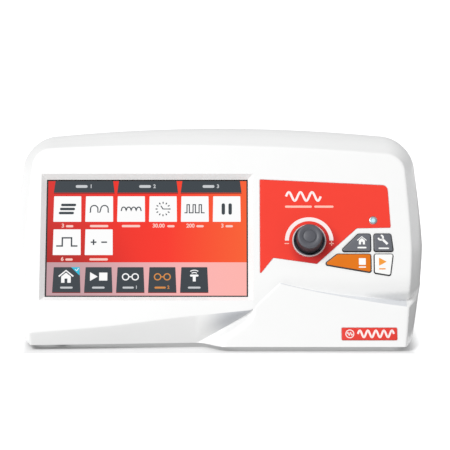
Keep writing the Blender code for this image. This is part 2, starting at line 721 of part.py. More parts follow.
def display():
    centre = DISPLAY_CENTRE
    panel = centred(centre, TOUCH_PANEL_SIZE)
    frame = [centred(centre, GASKET_SIZE), centred(centre, GASKET_OPENING)]
    finish(plate("window_gasket", frame, *GASKET_DEPTHS, FACE), "rubber")
    finish(plate("touch_panel", [panel], *TOUCH_PANEL_DEPTHS, FACE), "glass")
    finish(plate("display_module", [panel], *DISPLAY_MODULE_DEPTHS, FACE), "display")
    pegs = [(x, centre[1] + rise) for x in BRACKET_PEGS for rise in (-30.0, 30.0)]
    openings = [circle(peg, BOARD_HOLE_RADIUS, 10) for peg in pegs]
    openings.append(centred((centre[0], centre[1] - 28), (40, 22)))
    openings.append(centred((centre[0], centre[1] + 18), (90, 40)))
    bracket_centre = ((BRACKET_PEGS[0] + BRACKET_PEGS[1]) / 2, centre[1])
    outline = centred(bracket_centre, BRACKET_SIZE)
    bracket = plate("display_bracket", [outline, *openings], *BRACKET_DEPTHS, FACE)
    inset_x, inset_y = BRACKET_LEG_INSET
    legs = [(centre[0] + x, centre[1] + y) for x in (-inset_x, inset_x) for y in (-inset_y, inset_y)]
    leg_end = MAIN_BOARD_TOP + GAP
    board_back = MAIN_BOARD_TOP - BOARD_THICKNESS
    for i, leg in enumerate(legs):
        root, tip = BRACKET_DEPTHS[0] + 0.6, board_back - 1
        join(bracket, cylinder(f"bracket_leg_{i}", leg, 2.5, leg_end, root, FACE, True, 10))
        join(bracket, cylinder(f"bracket_pin_{i}", leg, PEG_RADIUS, tip, leg_end + 0.7, FACE, True, 8))
    finish(bracket, "steel")
    leg_holes = [circle(leg, BOARD_HOLE_RADIUS, 10) for leg in legs]
    outline = centred(centre, MAIN_BOARD_SIZE)
    board = plate("main_board", [outline, *leg_holes], board_back, MAIN_BOARD_TOP, FACE)
    for i, (place, size, height) in enumerate(MAIN_BOARD_PARTS):
        low, high = board_back - height, board_back + 0.6
        join(board, frustum(f"main_board_part_{i}", place, size, size, low, high, FACE, True))
    finish(board, "circuit_board")
    finish(cylinder("buzzer", (-105, 112), 6, -29, board_back - GAP, FACE), "black_plastic")
    low = (centre[0] - 10, centre[1] - 28, leg_end)
    high = (centre[0] + 10, centre[1] - 27.6, BRACKET_DEPTHS[1])
    finish(box("display_ribbon", low, high, FACE), "copper")


# ---------------------------------------------------------------- controls


def label_and_badge():
    holes = [circle(KNOB_CENTRE, LABEL_KNOB_HOLE, 32), circle(INDICATOR_CENTRE, LABEL_INDICATOR_HOLE, 16)]
    finish(plate("control_label", [rounded(LABEL_CORNERS), *holes], *LABEL_DEPTHS, FACE), "red_film")
    middle = [(a + b) / 2 for a, b in zip(BADGE_LOW, BADGE_HIGH)]
    size = [b - a for a, b in zip(BADGE_LOW, BADGE_HIGH)]
    front_size = [side - BADGE_DRAFT for side in size]
    finish(frustum("badge", middle, size, front_size, *BADGE_DEPTHS, FACE), "red_film")


def knob_and_encoder():
    rim = ((12.2, 1.2), (13.2, 0.9), (13.4, 0.4), (13.4, -0.2), (11.9, -0.2))
    well = (*rim, (11.9, -5.2), (3.8, -5.2), (3.8, -4.0), (10.6, -4.0), (10.6, -1.2))
    finish(turned("knob_well", well, KNOB_CENTRE, FACE, sides=32), "grey_plastic")
    across = 6.0
    low = (KNOB_CENTRE[0] - across, KNOB_CENTRE[1] - across, KEY_BOARD_TOP + GAP)
    high = (KNOB_CENTRE[0] + across, KNOB_CENTRE[1] + across, -5.5)
    encoder = box("encoder_body", low, high, FACE)
    join(encoder, cylinder("encoder_bush", KNOB_CENTRE, 3.4, -6.5, -0.9, FACE, True))
    cut(encoder, cylinder("encoder_bore", KNOB_CENTRE, 3.1, -12.7, 2, FACE, True, 24))
    finish(encoder, "steel")
    washer = ((6.0, -3.3), (6.0, -3.7), (3.8, -3.7), (3.8, -3.3))
    finish(turned("encoder_washer", washer, KNOB_CENTRE, FACE, sides=20), "steel")
    nut = plate("encoder_nut", [circle(KNOB_CENTRE, 5.6, 6), circle(KNOB_CENTRE, 3.7, 12)], -3.0, -1.2, FACE)
    finish(nut, "steel")
    shaft = ((0, 9.5), (2.5, 9.5), (3.0, 9.0), (3.0, -12.4), (0, -12.4))
    finish(turned("encoder_shaft", shaft, KNOB_CENTRE, FACE, sides=24, closed=False), "aluminium")
    knob = (
        (0, 12.5), (4.0, 12.5), (4.6, 12.2), (5.2, 12.6), (7.6, 13.2), (8.8, 12.9), (9.5, 12.0), (9.8, 6.0),
        (9.9, -3.2), (8.2, -3.2), (8.2, 10.0), (5.2, 10.0), (5.2, -0.4), (3.1, -0.4), (3.1, 9.8), (0, 9.8),
    )
    finish(turned("knob", knob, KNOB_CENTRE, FACE, closed=False), "grey_plastic")


def keys():
    kinds = {"stop": "orange_plastic", "start": "white_plastic"}
    for name, (corners, stem) in KEYS.items():
        key = plate(f"key_{name}", [rounded(corners, KEY_CORNER_RADIUS)], KEY_BACK, KEY_TOP, FACE)
        flange = rounded(grown(corners, KEY_FLANGE), KEY_CORNER_RADIUS)
        join(key, plate(f"{name}_flange", [flange], *KEY_FLANGE_DEPTHS, FACE, True))
        stem_end = SWITCH_TOP + KEY_TRAVEL + 0.1
        join(key, cylinder(f"{name}_stem", stem, 2.0, stem_end, KEY_BACK + 0.1, FACE, True, 14))
        finish(key, kinds.get(name, "grey_plastic"))
        low = (stem[0] - 3, stem[1] - 3, KEY_BOARD_TOP + GAP)
        high = (stem[0] + 3, stem[1] + 3, SWITCH_TOP - 0.5)
        switch = box(f"key_switch_{name}", low, high, FACE)
        join(switch, cylinder(f"{name}_actuator", stem, 1.7, SWITCH_TOP - 1, SWITCH_TOP, FACE, True, 12))
        finish(switch, "black_plastic")


def key_electronics():
    stems = [stem for _, stem in KEYS.values()]
    mat_holes = [circle(stem, 2.3, 14) for stem in stems]
    outline = rectangle(KEYPAD_MAT_LOW, KEYPAD_MAT_HIGH)
    finish(plate("keypad_mat", [outline, *mat_holes], *KEYPAD_MAT_DEPTHS, FACE), "silicone")
    holes = [circle(peg, BOARD_HOLE_RADIUS, 10) for peg in KEY_BOARD_PEGS]
    outline = rectangle(KEY_BOARD_LOW, KEY_BOARD_HIGH)
    board = plate("key_board", [outline, *holes], KEY_BOARD_TOP - BOARD_THICKNESS, KEY_BOARD_TOP, FACE)
    finish(board, "circuit_board")


def indicator():
    ring = ((2.9, 0.5), (2.9, -0.2), (2.3, -0.2), (2.3, -3.6), (1.8, -3.6), (1.8, 0.5))
    finish(turned("indicator_ring", ring, INDICATOR_CENTRE, FACE, sides=20), "aluminium")
    lens = ((0, 0.7), (1.0, 0.6), (1.5, 0.2), (1.5, -12.4), (0, -12.4))
    finish(turned("indicator_lens", lens, INDICATOR_CENTRE, FACE, sides=16, closed=False), "clear_plastic")
    x, y = INDICATOR_CENTRE
    low = (x - 1.6, y - 0.8, KEY_BOARD_TOP + GAP)
    finish(box("indicator_led", low, (x + 1.6, y + 0.8, KEY_BOARD_TOP + 1.2), FACE), "glass")


# ---------------------------------------------------------------- electronics on the base


def board_holes(low, high):
    xs = (low[0] + PEG_INSET, high[0] - PEG_INSET)
    ys = (low[1] + PEG_INSET, high[1] - PEG_INSET)
    return [(x, y) for x in xs for y in ys]


def base_boards():
    for name, (low, high) in BASE_BOARDS.items():
        holes = [circle(place, BOARD_HOLE_RADIUS, 10) for place in board_holes(low, high)]
        board = plate(name, [rectangle(low, high), *holes], BOARD_BOTTOM, BOARD_BOTTOM + BOARD_THICKNESS)
        finish(board, "circuit_board")


def wound_core(name, low, high, winding):
    """A block core with a wider winding round its middle."""
    core = box(name, low, high)
    middle = [(a + b) / 2 for a, b in zip(low, high)]
    size = [(b - a) / 2 for a, b in zip(low, high)]
    reach = (size[0] * 0.6, size[1] + winding, size[2] * 0.7)
    wound = [[m + sign * r for m, r in zip(middle, reach)] for sign in (-1, 1)]
    join(core, box(f"{name}_winding", *wound, helper=True))
    finish(core, "copper")


def power_parts():
    top = BOARD_BOTTOM + BOARD_THICKNESS + GAP
    wound_core("power_transformer", (60, 2, top), (94, 30, top + 24), 3)
    finish(cylinder("power_capacitor", (38, 16), 9, top, top + 30, sides=24), "black_plastic")
    comb = [(100, top), (100, top + 22), (102, top + 22)]
    for i in range(4):
        x = 102 + i * 4
        comb += [(x, top + 4), (x + 2.5, top + 4), (x + 2.5, top + 22), (x + 4, top + 22)]
    comb += [(118, top)]
    heatsink = plate("power_heatsink", [[(x, -z) for x, z in comb]], 0, 44, BACK)
    finish(heatsink, "aluminium")
    shield = box("driver_shield", (-54, 2, top), (-10, 46, top + 14))
    cut(shield, box("driver_shield_inside", (-53.2, 2.8, top - 2), (-10.8, 45.2, top + 13.2), helper=True))
    cut(shield, box("driver_shield_notch", (-36, -5, top - 2), (-28, 8, top + 4), helper=True))
    finish(shield, "steel")
    wound_core("output_transformer_1", (-122, 2, top), (-104, 20, top + 15), 2)
    wound_core("output_transformer_2", (-94, 2, top), (-76, 20, top + 15), 2)
    finish(wire("mains_wires", MAINS_WIRE_ROUTE, 1.6), "rubber")


# ---------------------------------------------------------------- rear panel


def rear_panel():
    inlet = rectangle((INLET_X - 15.4, 30.6), (INLET_X + 15.4, 69.4))
    rocker = rectangle((ROCKER_X - 6.9, 39.4), (ROCKER_X + 6.9, 60.6))
    holes = [inlet, rocker]
    for x, _, body, _ in SOCKETS.values():
        holes.append(circle((x, PANEL_HEIGHT), body + GAP, 24))
    outlines = [[(x, -z) for x, z in outline] for outline in (rectangle((-104, 18), (104, 82)), *holes)]
    finish(plate("rear_panel", outlines, PANEL_FRONT, PANEL_BACK, BACK), "aluminium")


def power_inlet():
    x = INLET_X
    inlet = box("power_inlet", (x - 15, 58, 31), (x + 15, FLANGE_FRONT + 1, 69))
    join(inlet, box("inlet_flange", (x - 18, FLANGE_FRONT, 28), (x + 18, FLANGE_BACK, 72), helper=True))
    cut(inlet, box("plug_cavity", (x - 12, 66.5, 48.5), (x + 12, 90, 65), helper=True))
    cut(inlet, box("drawer_pocket", (x - 13, 60.5, 33), (x + 13, 90, 45), helper=True))
    for i, (pin_x, pin_z) in enumerate(((x - 7, 54.6), (x, 59.2), (x + 7, 54.6))):
        low = (pin_x - 1, 64, pin_z - 2)
        join(inlet, box(f"inlet_pin_{i}", low, (pin_x + 1, 80, pin_z + 2), helper=True))
    finish(inlet, "black_plastic")
    drawer = box("fuse_drawer", (x - 12.6, 61, 33.4), (x + 12.6, FLANGE_BACK - 0.2, 44.6))
    cut(drawer, box("fuse_space", (x - 11, 63, 35.6), (x + 11, 70, 50), helper=True))
    cut(drawer, box("drawer_grip", (x - 5, FLANGE_BACK - 2.5, 30), (x + 5, 90, 36), helper=True))
    finish(drawer, "black_plastic")
    fuse = turned("fuse", ((0, 10), (FUSE_RADIUS, 10), (FUSE_RADIUS, -10), (0, -10)), sides=16, closed=False)
    fuse.location = Vector((x, 66.5, 35.6 + GAP + FUSE_RADIUS)) * MM
    fuse.rotation_euler = (0, math.pi / 2, 0)
    finish(fuse, "glass")


def power_switch():
    x = ROCKER_X
    frame = box("power_switch_frame", (x - 6.6, 64, 39.7), (x + 6.6, FLANGE_FRONT + 1, 60.3))
    flange_low = (x - 8.2, FLANGE_FRONT, 37.5)
    join(frame, box("switch_flange", flange_low, (x + 8.2, FLANGE_BACK, 62.5), helper=True))
    cut(frame, box("switch_cavity", (x - 5.4, 70.5, 41), (x + 5.4, 90, 59), helper=True))
    finish(frame, "black_plastic")
    # The rocker's side view (height, outwards) about its pivot, the same at both ends
    side = ((8.0, 5.8), (0, 4.6), (-8.0, 5.8), (-8.0, 2.0), (-3.0, -3.0), (3.0, -3.0), (8.0, 2.0))
    pivot = frame_empty(
        "rocker_pivot",
        Matrix.Translation(Vector((x, ROCKER_PIVOT_Y, PANEL_HEIGHT)) * MM)
        @ Matrix.Rotation(-ROCKER_TILT, 4, "X")
        @ Matrix.Rotation(math.pi / 2, 4, "Z")
        @ Matrix.Rotation(math.pi / 2, 4, "X"),
    )
    outline = [(outwards, height) for height, outwards in side]
    finish(plate("power_rocker", [outline], -5.0, 5.0, pivot), "black_plastic")


def sockets():
    """Round sockets, each a flange and a body with a blind cavity and short contact pins."""
    for name, (x, flange, body, cavity) in SOCKETS.items():
        edge = ((flange - 0.6, FLANGE_BACK), (flange, FLANGE_BACK - 0.6), (flange, FLANGE_FRONT))
        outside = (*edge, (body, FLANGE_FRONT), (body, SOCKET_FRONT), (0, SOCKET_FRONT))
        inside = ((0, CAVITY_FLOOR), (cavity, CAVITY_FLOOR))
        lead_in = ((cavity, FLANGE_BACK - 0.5), (cavity + 0.5, FLANGE_BACK))
        profile = (*outside, *inside, *lead_in)
        socket = turned(name, profile, (x, -PANEL_HEIGHT), BACK, sides=20)
        for i in range(4):
            turn = math.pi / 4 + math.pi / 2 * i
            place = (x + cavity * 0.5 * math.cos(turn), -PANEL_HEIGHT + cavity * 0.5 * math.sin(turn))
            join(socket, cylinder(f"{name}_pin_{i}", place, 0.6, CAVITY_FLOOR - 1, 74, BACK, True, 8))
        finish(socket, "black_plastic")


casing()
base_plate()
screws_and_feet()
display()
label_and_badge()
knob_and_encoder()
keys()
key_electronics()
indicator()
base_boards()
power_parts()
rear_panel()
power_inlet()
power_switch()
sockets()
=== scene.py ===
"""The looks of a bench-top ultrasound therapy console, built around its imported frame.

Lengths are in millimetres and the helpers turn them into metres. The world frame has X to the user's
right, Y to the back and Z up. Pieces of the control face are made in the face frame: X across, Y up the
tilted face and Z out of it, with its origin at the middle of the casing's front lower edge.
"""

import json
import math

import bmesh
import bpy
from mathutils import Matrix, Vector

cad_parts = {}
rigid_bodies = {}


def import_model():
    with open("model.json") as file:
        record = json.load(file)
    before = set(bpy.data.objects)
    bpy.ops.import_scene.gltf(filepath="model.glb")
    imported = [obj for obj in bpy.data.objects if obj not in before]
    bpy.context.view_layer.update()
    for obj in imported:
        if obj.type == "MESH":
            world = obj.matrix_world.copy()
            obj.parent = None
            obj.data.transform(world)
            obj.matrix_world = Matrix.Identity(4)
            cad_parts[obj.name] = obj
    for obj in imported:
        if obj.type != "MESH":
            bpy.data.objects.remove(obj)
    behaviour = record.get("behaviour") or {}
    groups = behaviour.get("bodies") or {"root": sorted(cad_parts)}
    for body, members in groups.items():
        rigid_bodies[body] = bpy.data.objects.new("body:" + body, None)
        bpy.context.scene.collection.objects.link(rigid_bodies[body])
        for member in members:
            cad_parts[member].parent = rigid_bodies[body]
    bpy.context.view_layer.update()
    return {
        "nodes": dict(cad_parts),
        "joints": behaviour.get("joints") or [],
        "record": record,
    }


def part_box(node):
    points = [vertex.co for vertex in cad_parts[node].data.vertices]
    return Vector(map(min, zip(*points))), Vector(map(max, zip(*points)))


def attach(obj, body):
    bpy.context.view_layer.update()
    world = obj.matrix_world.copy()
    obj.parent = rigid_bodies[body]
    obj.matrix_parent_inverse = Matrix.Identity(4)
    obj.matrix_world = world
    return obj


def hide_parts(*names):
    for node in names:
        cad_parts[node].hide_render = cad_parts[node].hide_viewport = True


for leftover in list(bpy.data.objects):
    bpy.data.objects.remove(leftover)

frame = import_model()
MM = 0.001

# ---------------------------------------------------------------- places taken from the frame

JOINTS = {joint["name"]: joint for joint in frame["joints"]}
FACE_NORMAL = Vector(JOINTS["knob_turn"]["axis"]).normalized()
FACE_TILT = math.asin(FACE_NORMAL.z)
BACK_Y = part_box("rear_shell")[1].y / MM
CASING_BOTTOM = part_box("front_shell")[0].z / MM
FACE = (
    Matrix.Translation(Vector((0, -BACK_Y, CASING_BOTTOM)) * MM)
    @ Matrix.Rotation(math.pi / 2 - FACE_TILT, 4, "X")
)
# The back's frame: X across, Y down and Z out of the back, with heights measured from the floor
BACK = Matrix.Rotation(-math.pi / 2, 4, "X")


def on_face(world):
    """A world place in metres as (across, up, out) on the face, in millimetres."""
    return FACE.inverted() @ Vector(world) / MM


def middle_of(node):
    """The middle of a CAD node as (x, y) in millimetres."""
    low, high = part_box(node)
    return ((low.x + high.x) / 2 / MM, (low.y + high.y) / 2 / MM)


KNOB_CENTRE = on_face(JOINTS["knob_turn"]["pos_m"])[:2]

# ---------------------------------------------------------------- driving dimensions

# The face's outline: half widths at three heights, the top edge and its corners
FACE_WIDTHS = ((0.0, 140.5), (77.0, 146.0), (141.0, 142.0))
# How fast the bulging sides fall away: 1 is straight, 2 a parabola
SIDE_POWER = 1.4
FACE_TOP = 158.0
FACE_CROWN = 4.7
FACE_SKEW = 2.3
FACE_RADIUS = 15.0
CROWN_HALF_WIDTH = 129.0
RIM_RADIUS = 1.8
WALL = 2.2
TRIM = 3.0

# Folds of the face: (across, up), with depths behind the face
FACET_CREASE = ((-146.0, 10.4), (-81.0, 16.1), (-28.7, 22.7), (25.9, 28.6))
FACET_DEPTH = ((-146.0, 5.5), (-82.0, 9.2), (-16.0, 13.2))
BAND_FOLD_START = (-16.3, 6.4)
BAND_FOLD_END = (25.9, 28.6)
BAND_FOLD_DEPTH = 13.2
FOLD_DEPTH_POWER = 0.5
BAND_RAMP = 22.0
RIDGE_CORNER = (46.6, 48.8)
RIDGE = (RIDGE_CORNER, (76.3, 42.0), (121.3, 33.9), (147.0, 30.3))
VALLEY_END = 144.0
VALLEY_DEPTH = 6.6
VALLEY_GROWTH = 1.3
VALLEY_TOP = 58.0
VALLEY_POWER = 2.5
# Steps down to the valley's floor, as (depth, distance across that it takes)
STEP_BESIDE_BAND = (0.45, 5.0)
STEP_AT_RIDGE = (0.9, 8.0)
# How far the light shelf above the ridge reaches: least, growth towards the right, and the growth's power
SHELF_RUN = (0.9, 7.9, 2.2)
# The narrow groove over the shelf, which deepens to the right from its start
GROOVE_START = 108.0
GROOVE_DEPTH = 6.0
GROOVE_WIDTH = 1.8
FACET_TWIST = 1.0
# Half the width over which folds are rounded off, up the face and across it
FILLET = 0.7
FILLET_ACROSS = FILLET * 0.6
# Painted shade on the wedge beside the fold: its middle, and how far from it in metres the tone starts and
# stops fading
WEDGE_SHADE_CENTRE = (14.0, 22.5, -6.0)
WEDGE_SHADE_FADE = (0.005, 0.029)

# Sections behind the face: ends of their centre line (y, z), half widths (low, wide, high), corner radius
WIDTH_HEIGHTS = (0.0, 0.44, 0.82)
PARTING_DEPTH = 26.0
PARTING_Y = -BACK_Y + PARTING_DEPTH / math.cos(FACE_TILT)
SECTIONS = (
    ((PARTING_Y, 4.0), (17.9, 151.25), (146.7, 155.75, 150.9), 25.0),
    ((-8.0, 4.0), (44.7, 150.7), (147.0, 154.6, 149.4), 26.0),
    ((35.0, 4.0), (67.0, 138.0), (143.0, 150.0, 144.0), 28.0),
    ((70.0, 4.0), (79.0, 121.0), (136.0, 141.0, 136.0), 28.0),
    ((BACK_Y, 4.0), (BACK_Y, 113.0), (131.0, 135.0, 130.0), 26.0),
)
CROWN = 6.5
BACK_FILLET = 3.5
PARTING_GAP = 0.35
PARTING_CHAMFER = 0.25
# The flat core inside the casing, in metres, which inward directions point to
CORE_HALF_WIDTH = 0.09
CORE_HEIGHT = 0.07
# What trims the casing's lower edge level reaches this far across and back
BELOW_SIZE = (400, 300)
# Rings from the face's rim to the parting line, and behind it as (section, rings)
FRONT_STEPS = 7
REAR_STEPS = ((1, 6), (2, 9), (3, 6), (4, 4))
# How far the first of those behind it lies, as a share of the way to the next section
REAR_START = 0.03
FILLET_STEPS = 4

# Display
DISPLAY_CENTRE = (-54.2, 85.6)
WINDOW_SIZE = (161.0, 99.4)
PICTURE_SIZE = (153.2, 92.2)
WINDOW_RIB_SIZE = (170.0, 108.0)
WINDOW_RIB_BACK = -3.7
WINDOW_RIB_FRONT = -1.2
GASKET_DEPTHS = (-4.6, -4.0)
GLASS_FRONT = -4.9
GLASS_BACK = -6.3

# Controls
LABEL_CORNERS = (
    (31.5, 130.7, 0.8),
    (128.4, 126.0, 4.0),
    (130.3, 92.8, 0.8),
    (104.7, 92.3, 0.8),
    (74.2, 64.4, 0.8),
    (41.4, 69.2, 0.8),
    (31.5, 56.6, 0.4),
)
LABEL_TOP = 0.05
POCKET_DEPTH = 0.5
POCKET_GAP = 0.3
# Levels of a recess or a block, as (height, how far its outline grows)
POCKET_LEVELS = ((-POCKET_DEPTH, 0.0), (-0.15, 0.0), (0.0, 0.12), (1.0, 1.0))
BADGE_LOW = (92.3, 5.3)
BADGE_HIGH = (133.7, 14.7)
BADGE_TOP = 0.3
BADGE_RADIUS = 0.8
BADGE_LEVELS = (
    (-POCKET_DEPTH + 0.05, 0.0), (BADGE_TOP - 0.15, 0.0), (BADGE_TOP - 0.04, -0.06), (BADGE_TOP, -0.2),
)
WELL_HOLE_RADIUS = 12.2
INDICATOR_CENTRE = (117.2, 98.4)
INDICATOR_HOLE_RADIUS = 2.6
HOLE_DEPTHS = (-8, 3)
KEY_CORNER_RADIUS = 1.5
KEY_TOP = 0.9
KEY_CLEARANCE = 0.35
KEY_BORDER = 0.45
KEY_FLANGE = 0.75
KEY_FLANGE_DEPTHS = (-4.3, -3.4)
KEY_HOLE_LEVELS = ((-8.0, 0.0), (-0.35, 0.0), (-0.1, 0.08), (0.02, 0.3), (1.0, 1.2))
KEY_SKIRT_LEVELS = ((-4.0, 0.0), (KEY_TOP - 0.35, 0.0), (KEY_TOP - 0.1, -0.08), (KEY_TOP, -0.3))
KEY_CAP_LEVELS = (
    (KEY_TOP - 0.2, 0.0), (KEY_TOP + 0.1, 0.0), (KEY_TOP + 0.2, -0.12), (KEY_TOP + 0.24, -0.4),
)
KEY_MARK_HEIGHTS = (KEY_TOP + 0.2, KEY_TOP + 0.3)
KNOB_SIDES = 128
KEYS = {
    "home": ((105.6, 87.7), (115.1, 87.7), (115.1, 73.7), (91.6, 73.7)),
    "settings": ((117.5, 87.7), (130.5, 87.7), (132.1, 73.8), (117.5, 73.8)),
    "stop": ((89.6, 71.9), (115.1, 71.9), (115.1, 57.3), (79.2, 63.6)),
    "start": ((117.5, 71.9), (132.0, 71.9), (129.6, 54.9), (117.5, 56.9)),
}
# Prints stand this far out, and start this far in
PRINT = 0.05
SUNK = 0.03
LABEL_HOLE = 12.95
INDICATOR_LABEL_HOLE = 3.2
# The knob's shadow painted on the label at the knob's lower right: its shift, and in metres where it fades
KNOB_SHADOW_SHIFT = 5
KNOB_SHADOW_FADE = (0.012, 0.022)
SCALE_RADIUS = 16.8
SCALE_WIDTH = 3.0
SIGN_DISTANCE = 16.9
TITLE_LEFT = 51.3
TITLE_HEIGHT = 117.3
SUBTITLE_HEIGHT = 109.2

# Display stack and the picture's layout
TOUCH_PANEL_SIZE = (165.0, 104.0)
GASKET_SIZE = (163.0, 101.4)
GASKET_OPENING = (154.4, 93.4)
FIELD_LOW = (-129.7, 40.8)
FIELD_HIGH = (21.3, 131.0)
TAB_LEFT = -124.3
TAB_PITCH = 48.35
TAB_WIDTH = 44.0
TAB_BOTTOM = 121.7
TAB_FLARE = 1.2
TILE_LEFT = -125.1
TILE_PITCH = 24.22
TILE_SIZE = (20.6, 20.2)
TILE_ROWS = (98.7, 72.5)
CAPTION_DROP = 3.2
BAND_TOP = 66.8
BUTTON_LEFT = -124.4
BUTTON_PITCH = 24.1
BUTTON_WIDTH = 19.6
BUTTON_BOTTOM = 43.5
BUTTON_TOP = 63.0
BUTTON_FLARE = 0.9

# Back, in the back's frame, where heights over the floor are negative
PANEL_OPENING_LOW = (-99.0, -78.0)
PANEL_OPENING_HIGH = (99.0, -22.0)
PANEL_OPENING_RADIUS = 2.0
VENT_COUNT = 12
VENT_PITCH = 11
VENT_SIZE = (5.0, 13.0)
VENT_HEIGHT = 92.5
VENT_RADIUS = 2.4
VENT_DEPTHS = (72, 95)
# Heights and depths of what the rear panel carries; sockets as (x, flange, body and cavity radius)
PANEL_HEIGHT = 50.0
FLANGE_FRONT = 80.5
FLANGE_BACK = 82.9
SOCKETS = {
    "ultrasound_socket": (-20.0, 11.0, 8.5, 6.5),
    "channel_1_socket": (-56.0, 9.0, 7.0, 5.0),
    "channel_2_socket": (-86.0, 9.0, 7.0, 5.0),
}
# A socket's inner end, its cavity's floor, and the step round that floor
SOCKET_DEPTHS = (62, 70, 72)
# The rocker's tilt at rest, the slope of its dished top, and where its marks sit over the pivot
ROCKER_TILT = math.radians(8.0)
ROCKER_DISH = math.atan(1.2 / 8.0)
ROCKER_MARK_DISTANCE = 4.4
ROCKER_MARK_HEIGHT = 4.6
SOFT_EDGE = 0.25
SOFT_EDGE_ANGLE = math.radians(40)
# Points nearer than this, in metres, are one point
SAME_PLACE = 0.000001
SAME_PLACE_IN_PRINT = 0.000005
# Edges sharper than this are left sharp: on the pieces, and on the two shells
SMOOTH_ANGLE = math.radians(35)
SHELL_SMOOTH_ANGLE = math.radians(32)

# The floor in metres: its half size, where it starts to brighten from the middle, and over what distance
FLOOR_REACH = 16
FLOOR_SHADE = (0.142, 0.083)
FLOOR_FADE = 0.014
FLOOR_GLOW = 0.6

# Light and camera, in metres
WORLD_COLOUR = (0.985, 0.99, 1.0, 1)
WORLD_STRENGTH = 0.62
# The light's place, what it points at, its size and its power in watts
KEY_LIGHT = ((-1.41, -1.81, 2.0), (0, 0, 0.08), 1.5, 57)
CARD_PLACE = (0.42, 0.42, 0.001)
CARD_SIZE = (0.52, 1.1, 1)
CAMERA_PLACE = (0.00498, -1.8941, 0.41584)
CAMERA_PITCH = math.radians(80)
CAMERA_LENS = 198.78

# ---------------------------------------------------------------- materials

# Surfaces: gloss of a clear coat, cells per metre of the broad mottle, spread of roughness, depth in metres
COAT_ROUGHNESS = 0.06
MOTTLE_SCALE = 45.0
GLOSS_SPREAD = 0.05
GRAIN_DEPTH = 0.0002
# The lit picture: its clear coat, its backdrop's glow, and its dark corner's reach in metres and strength
PICTURE_COAT = 0.15
BACKDROP_GLOW = 0.98
CORNER_REACH = 0.085
CORNER_DARKNESS = 0.85
# Inputs and output of a Mix node that are its colours; its other kinds of value have the same names
MIX_FIRST = 6
MIX_SECOND = 7
MIX_RESULT = 2


def colour(red, green, blue):
    """A colour given as it looks on a screen, 0 to 255, as the linear values that shaders take."""
    channels = []
    for value in (red, green, blue):
        share = value / 255
        channels.append(share / 12.92 if value < 10 else ((share + 0.055) / 1.055) ** 2.4)
    return tuple(channels)


def add_node(tree, kind, **values):
    """A new node, with values for its properties or, by their names in lower case, for its inputs."""
    node = tree.nodes.new(kind)
    for name, value in values.items():
        if hasattr(node, name):
            setattr(node, name, value)
        else:
            node.inputs[name.replace("_", " ").title()].default_value = value
    return node


def noise(tree, scale, detail=2.0, stretch=None):
    """A noise pattern in the piece's own coordinates. Scale is in cells per metre."""
    place = add_node(tree, "ShaderNodeTexCoord").outputs["Object"]
    if stretch:
        mapping = add_node(tree, "ShaderNodeMapping")
        mapping.inputs["Scale"].default_value = stretch
        tree.links.new(place, mapping.inputs["Vector"])
        place = mapping.outputs["Vector"]
    pattern = add_node(tree, "ShaderNodeTexNoise", Scale=scale, Detail=detail)
    tree.links.new(place, pattern.inputs["Vector"])
    return pattern.outputs["Fac"]


def tint(tree, factor, low, high):
    """A colour that runs from low to high with factor."""
    ramp = add_node(tree, "ShaderNodeValToRGB")
    ramp.color_ramp.elements[0].position = 0.3
    ramp.color_ramp.elements[1].position = 0.7
    ramp.color_ramp.elements[0].color = (*low, 1)
    ramp.color_ramp.elements[1].color = (*high, 1)
    tree.links.new(factor, ramp.inputs["Fac"])
    return ramp.outputs["Color"]


def scaled(value, factor):
    """A colour made lighter or darker, with no channel over 1."""
    return tuple(min(channel * factor, 1.0) for channel in value)


def ranged(tree, value, start, end, low=0.0, high=1.0, kind="LINEAR"):
    """A value that runs from low to high while the given one runs from start to end."""
    node = add_node(tree, "ShaderNodeMapRange", interpolation_type=kind)
    for name, number in (("From Min", start), ("From Max", end), ("To Min", low), ("To Max", high)):
        node.inputs[name].default_value = number
    tree.links.new(value, node.inputs["Value"])
    return node.outputs["Result"]


def distance_from(tree, spot):
    """The distance from a place, both in metres in the piece's own coordinates."""
    spread = add_node(tree, "ShaderNodeVectorMath", operation="DISTANCE")
    spread.inputs[1].default_value = spot
    tree.links.new(add_node(tree, "ShaderNodeTexCoord").outputs["Object"], spread.inputs[0])
    return spread.outputs["Value"]


def mixed(tree, share, first, second):
    """Two colours mixed by a share. Each is a constant colour or a node's output."""
    mix = add_node(tree, "ShaderNodeMix", data_type="RGBA")
    tree.links.new(share, mix.inputs["Factor"])
    for index, value in ((MIX_FIRST, first), (MIX_SECOND, second)):
        if isinstance(value, tuple):
            mix.inputs[index].default_value = (*value, 1)
        else:
            tree.links.new(value, mix.inputs[index])
    return mix.outputs[MIX_RESULT]


def surface(
    name, base, roughness, metallic=0.0, coat=0.0, shine=0.5,
    grain=1500.0, relief=0.03, mottle=0.02, stretch=None,
):
    """A plastic, rubber, print or metal surface, whose grain moves its relief, gloss and colour a little."""
    material = bpy.data.materials.new(name)
    material.use_nodes = True
    tree = material.node_tree
    shader = tree.nodes["Principled BSDF"]
    shader.inputs["Metallic"].default_value = metallic
    shader.inputs["Coat Weight"].default_value = coat
    shader.inputs["Specular IOR Level"].default_value = shine
    shader.inputs["Coat Roughness"].default_value = COAT_ROUGHNESS
    broad = noise(tree, MOTTLE_SCALE, 3.0, stretch)
    fine = noise(tree, grain, 2.0, stretch)
    shade = tint(tree, broad, scaled(base, 1 - mottle), scaled(base, 1 + mottle))
    tree.links.new(shade, shader.inputs["Base Color"])
    gloss = ranged(tree, fine, 0.0, 1.0, roughness - GLOSS_SPREAD, roughness + GLOSS_SPREAD)
    tree.links.new(gloss, shader.inputs["Roughness"])
    bump = add_node(tree, "ShaderNodeBump")
    bump.inputs["Strength"].default_value = relief
    bump.inputs["Distance"].default_value = GRAIN_DEPTH
    tree.links.new(fine, bump.inputs["Height"])
    tree.links.new(bump.outputs["Normal"], shader.inputs["Normal"])
    return material


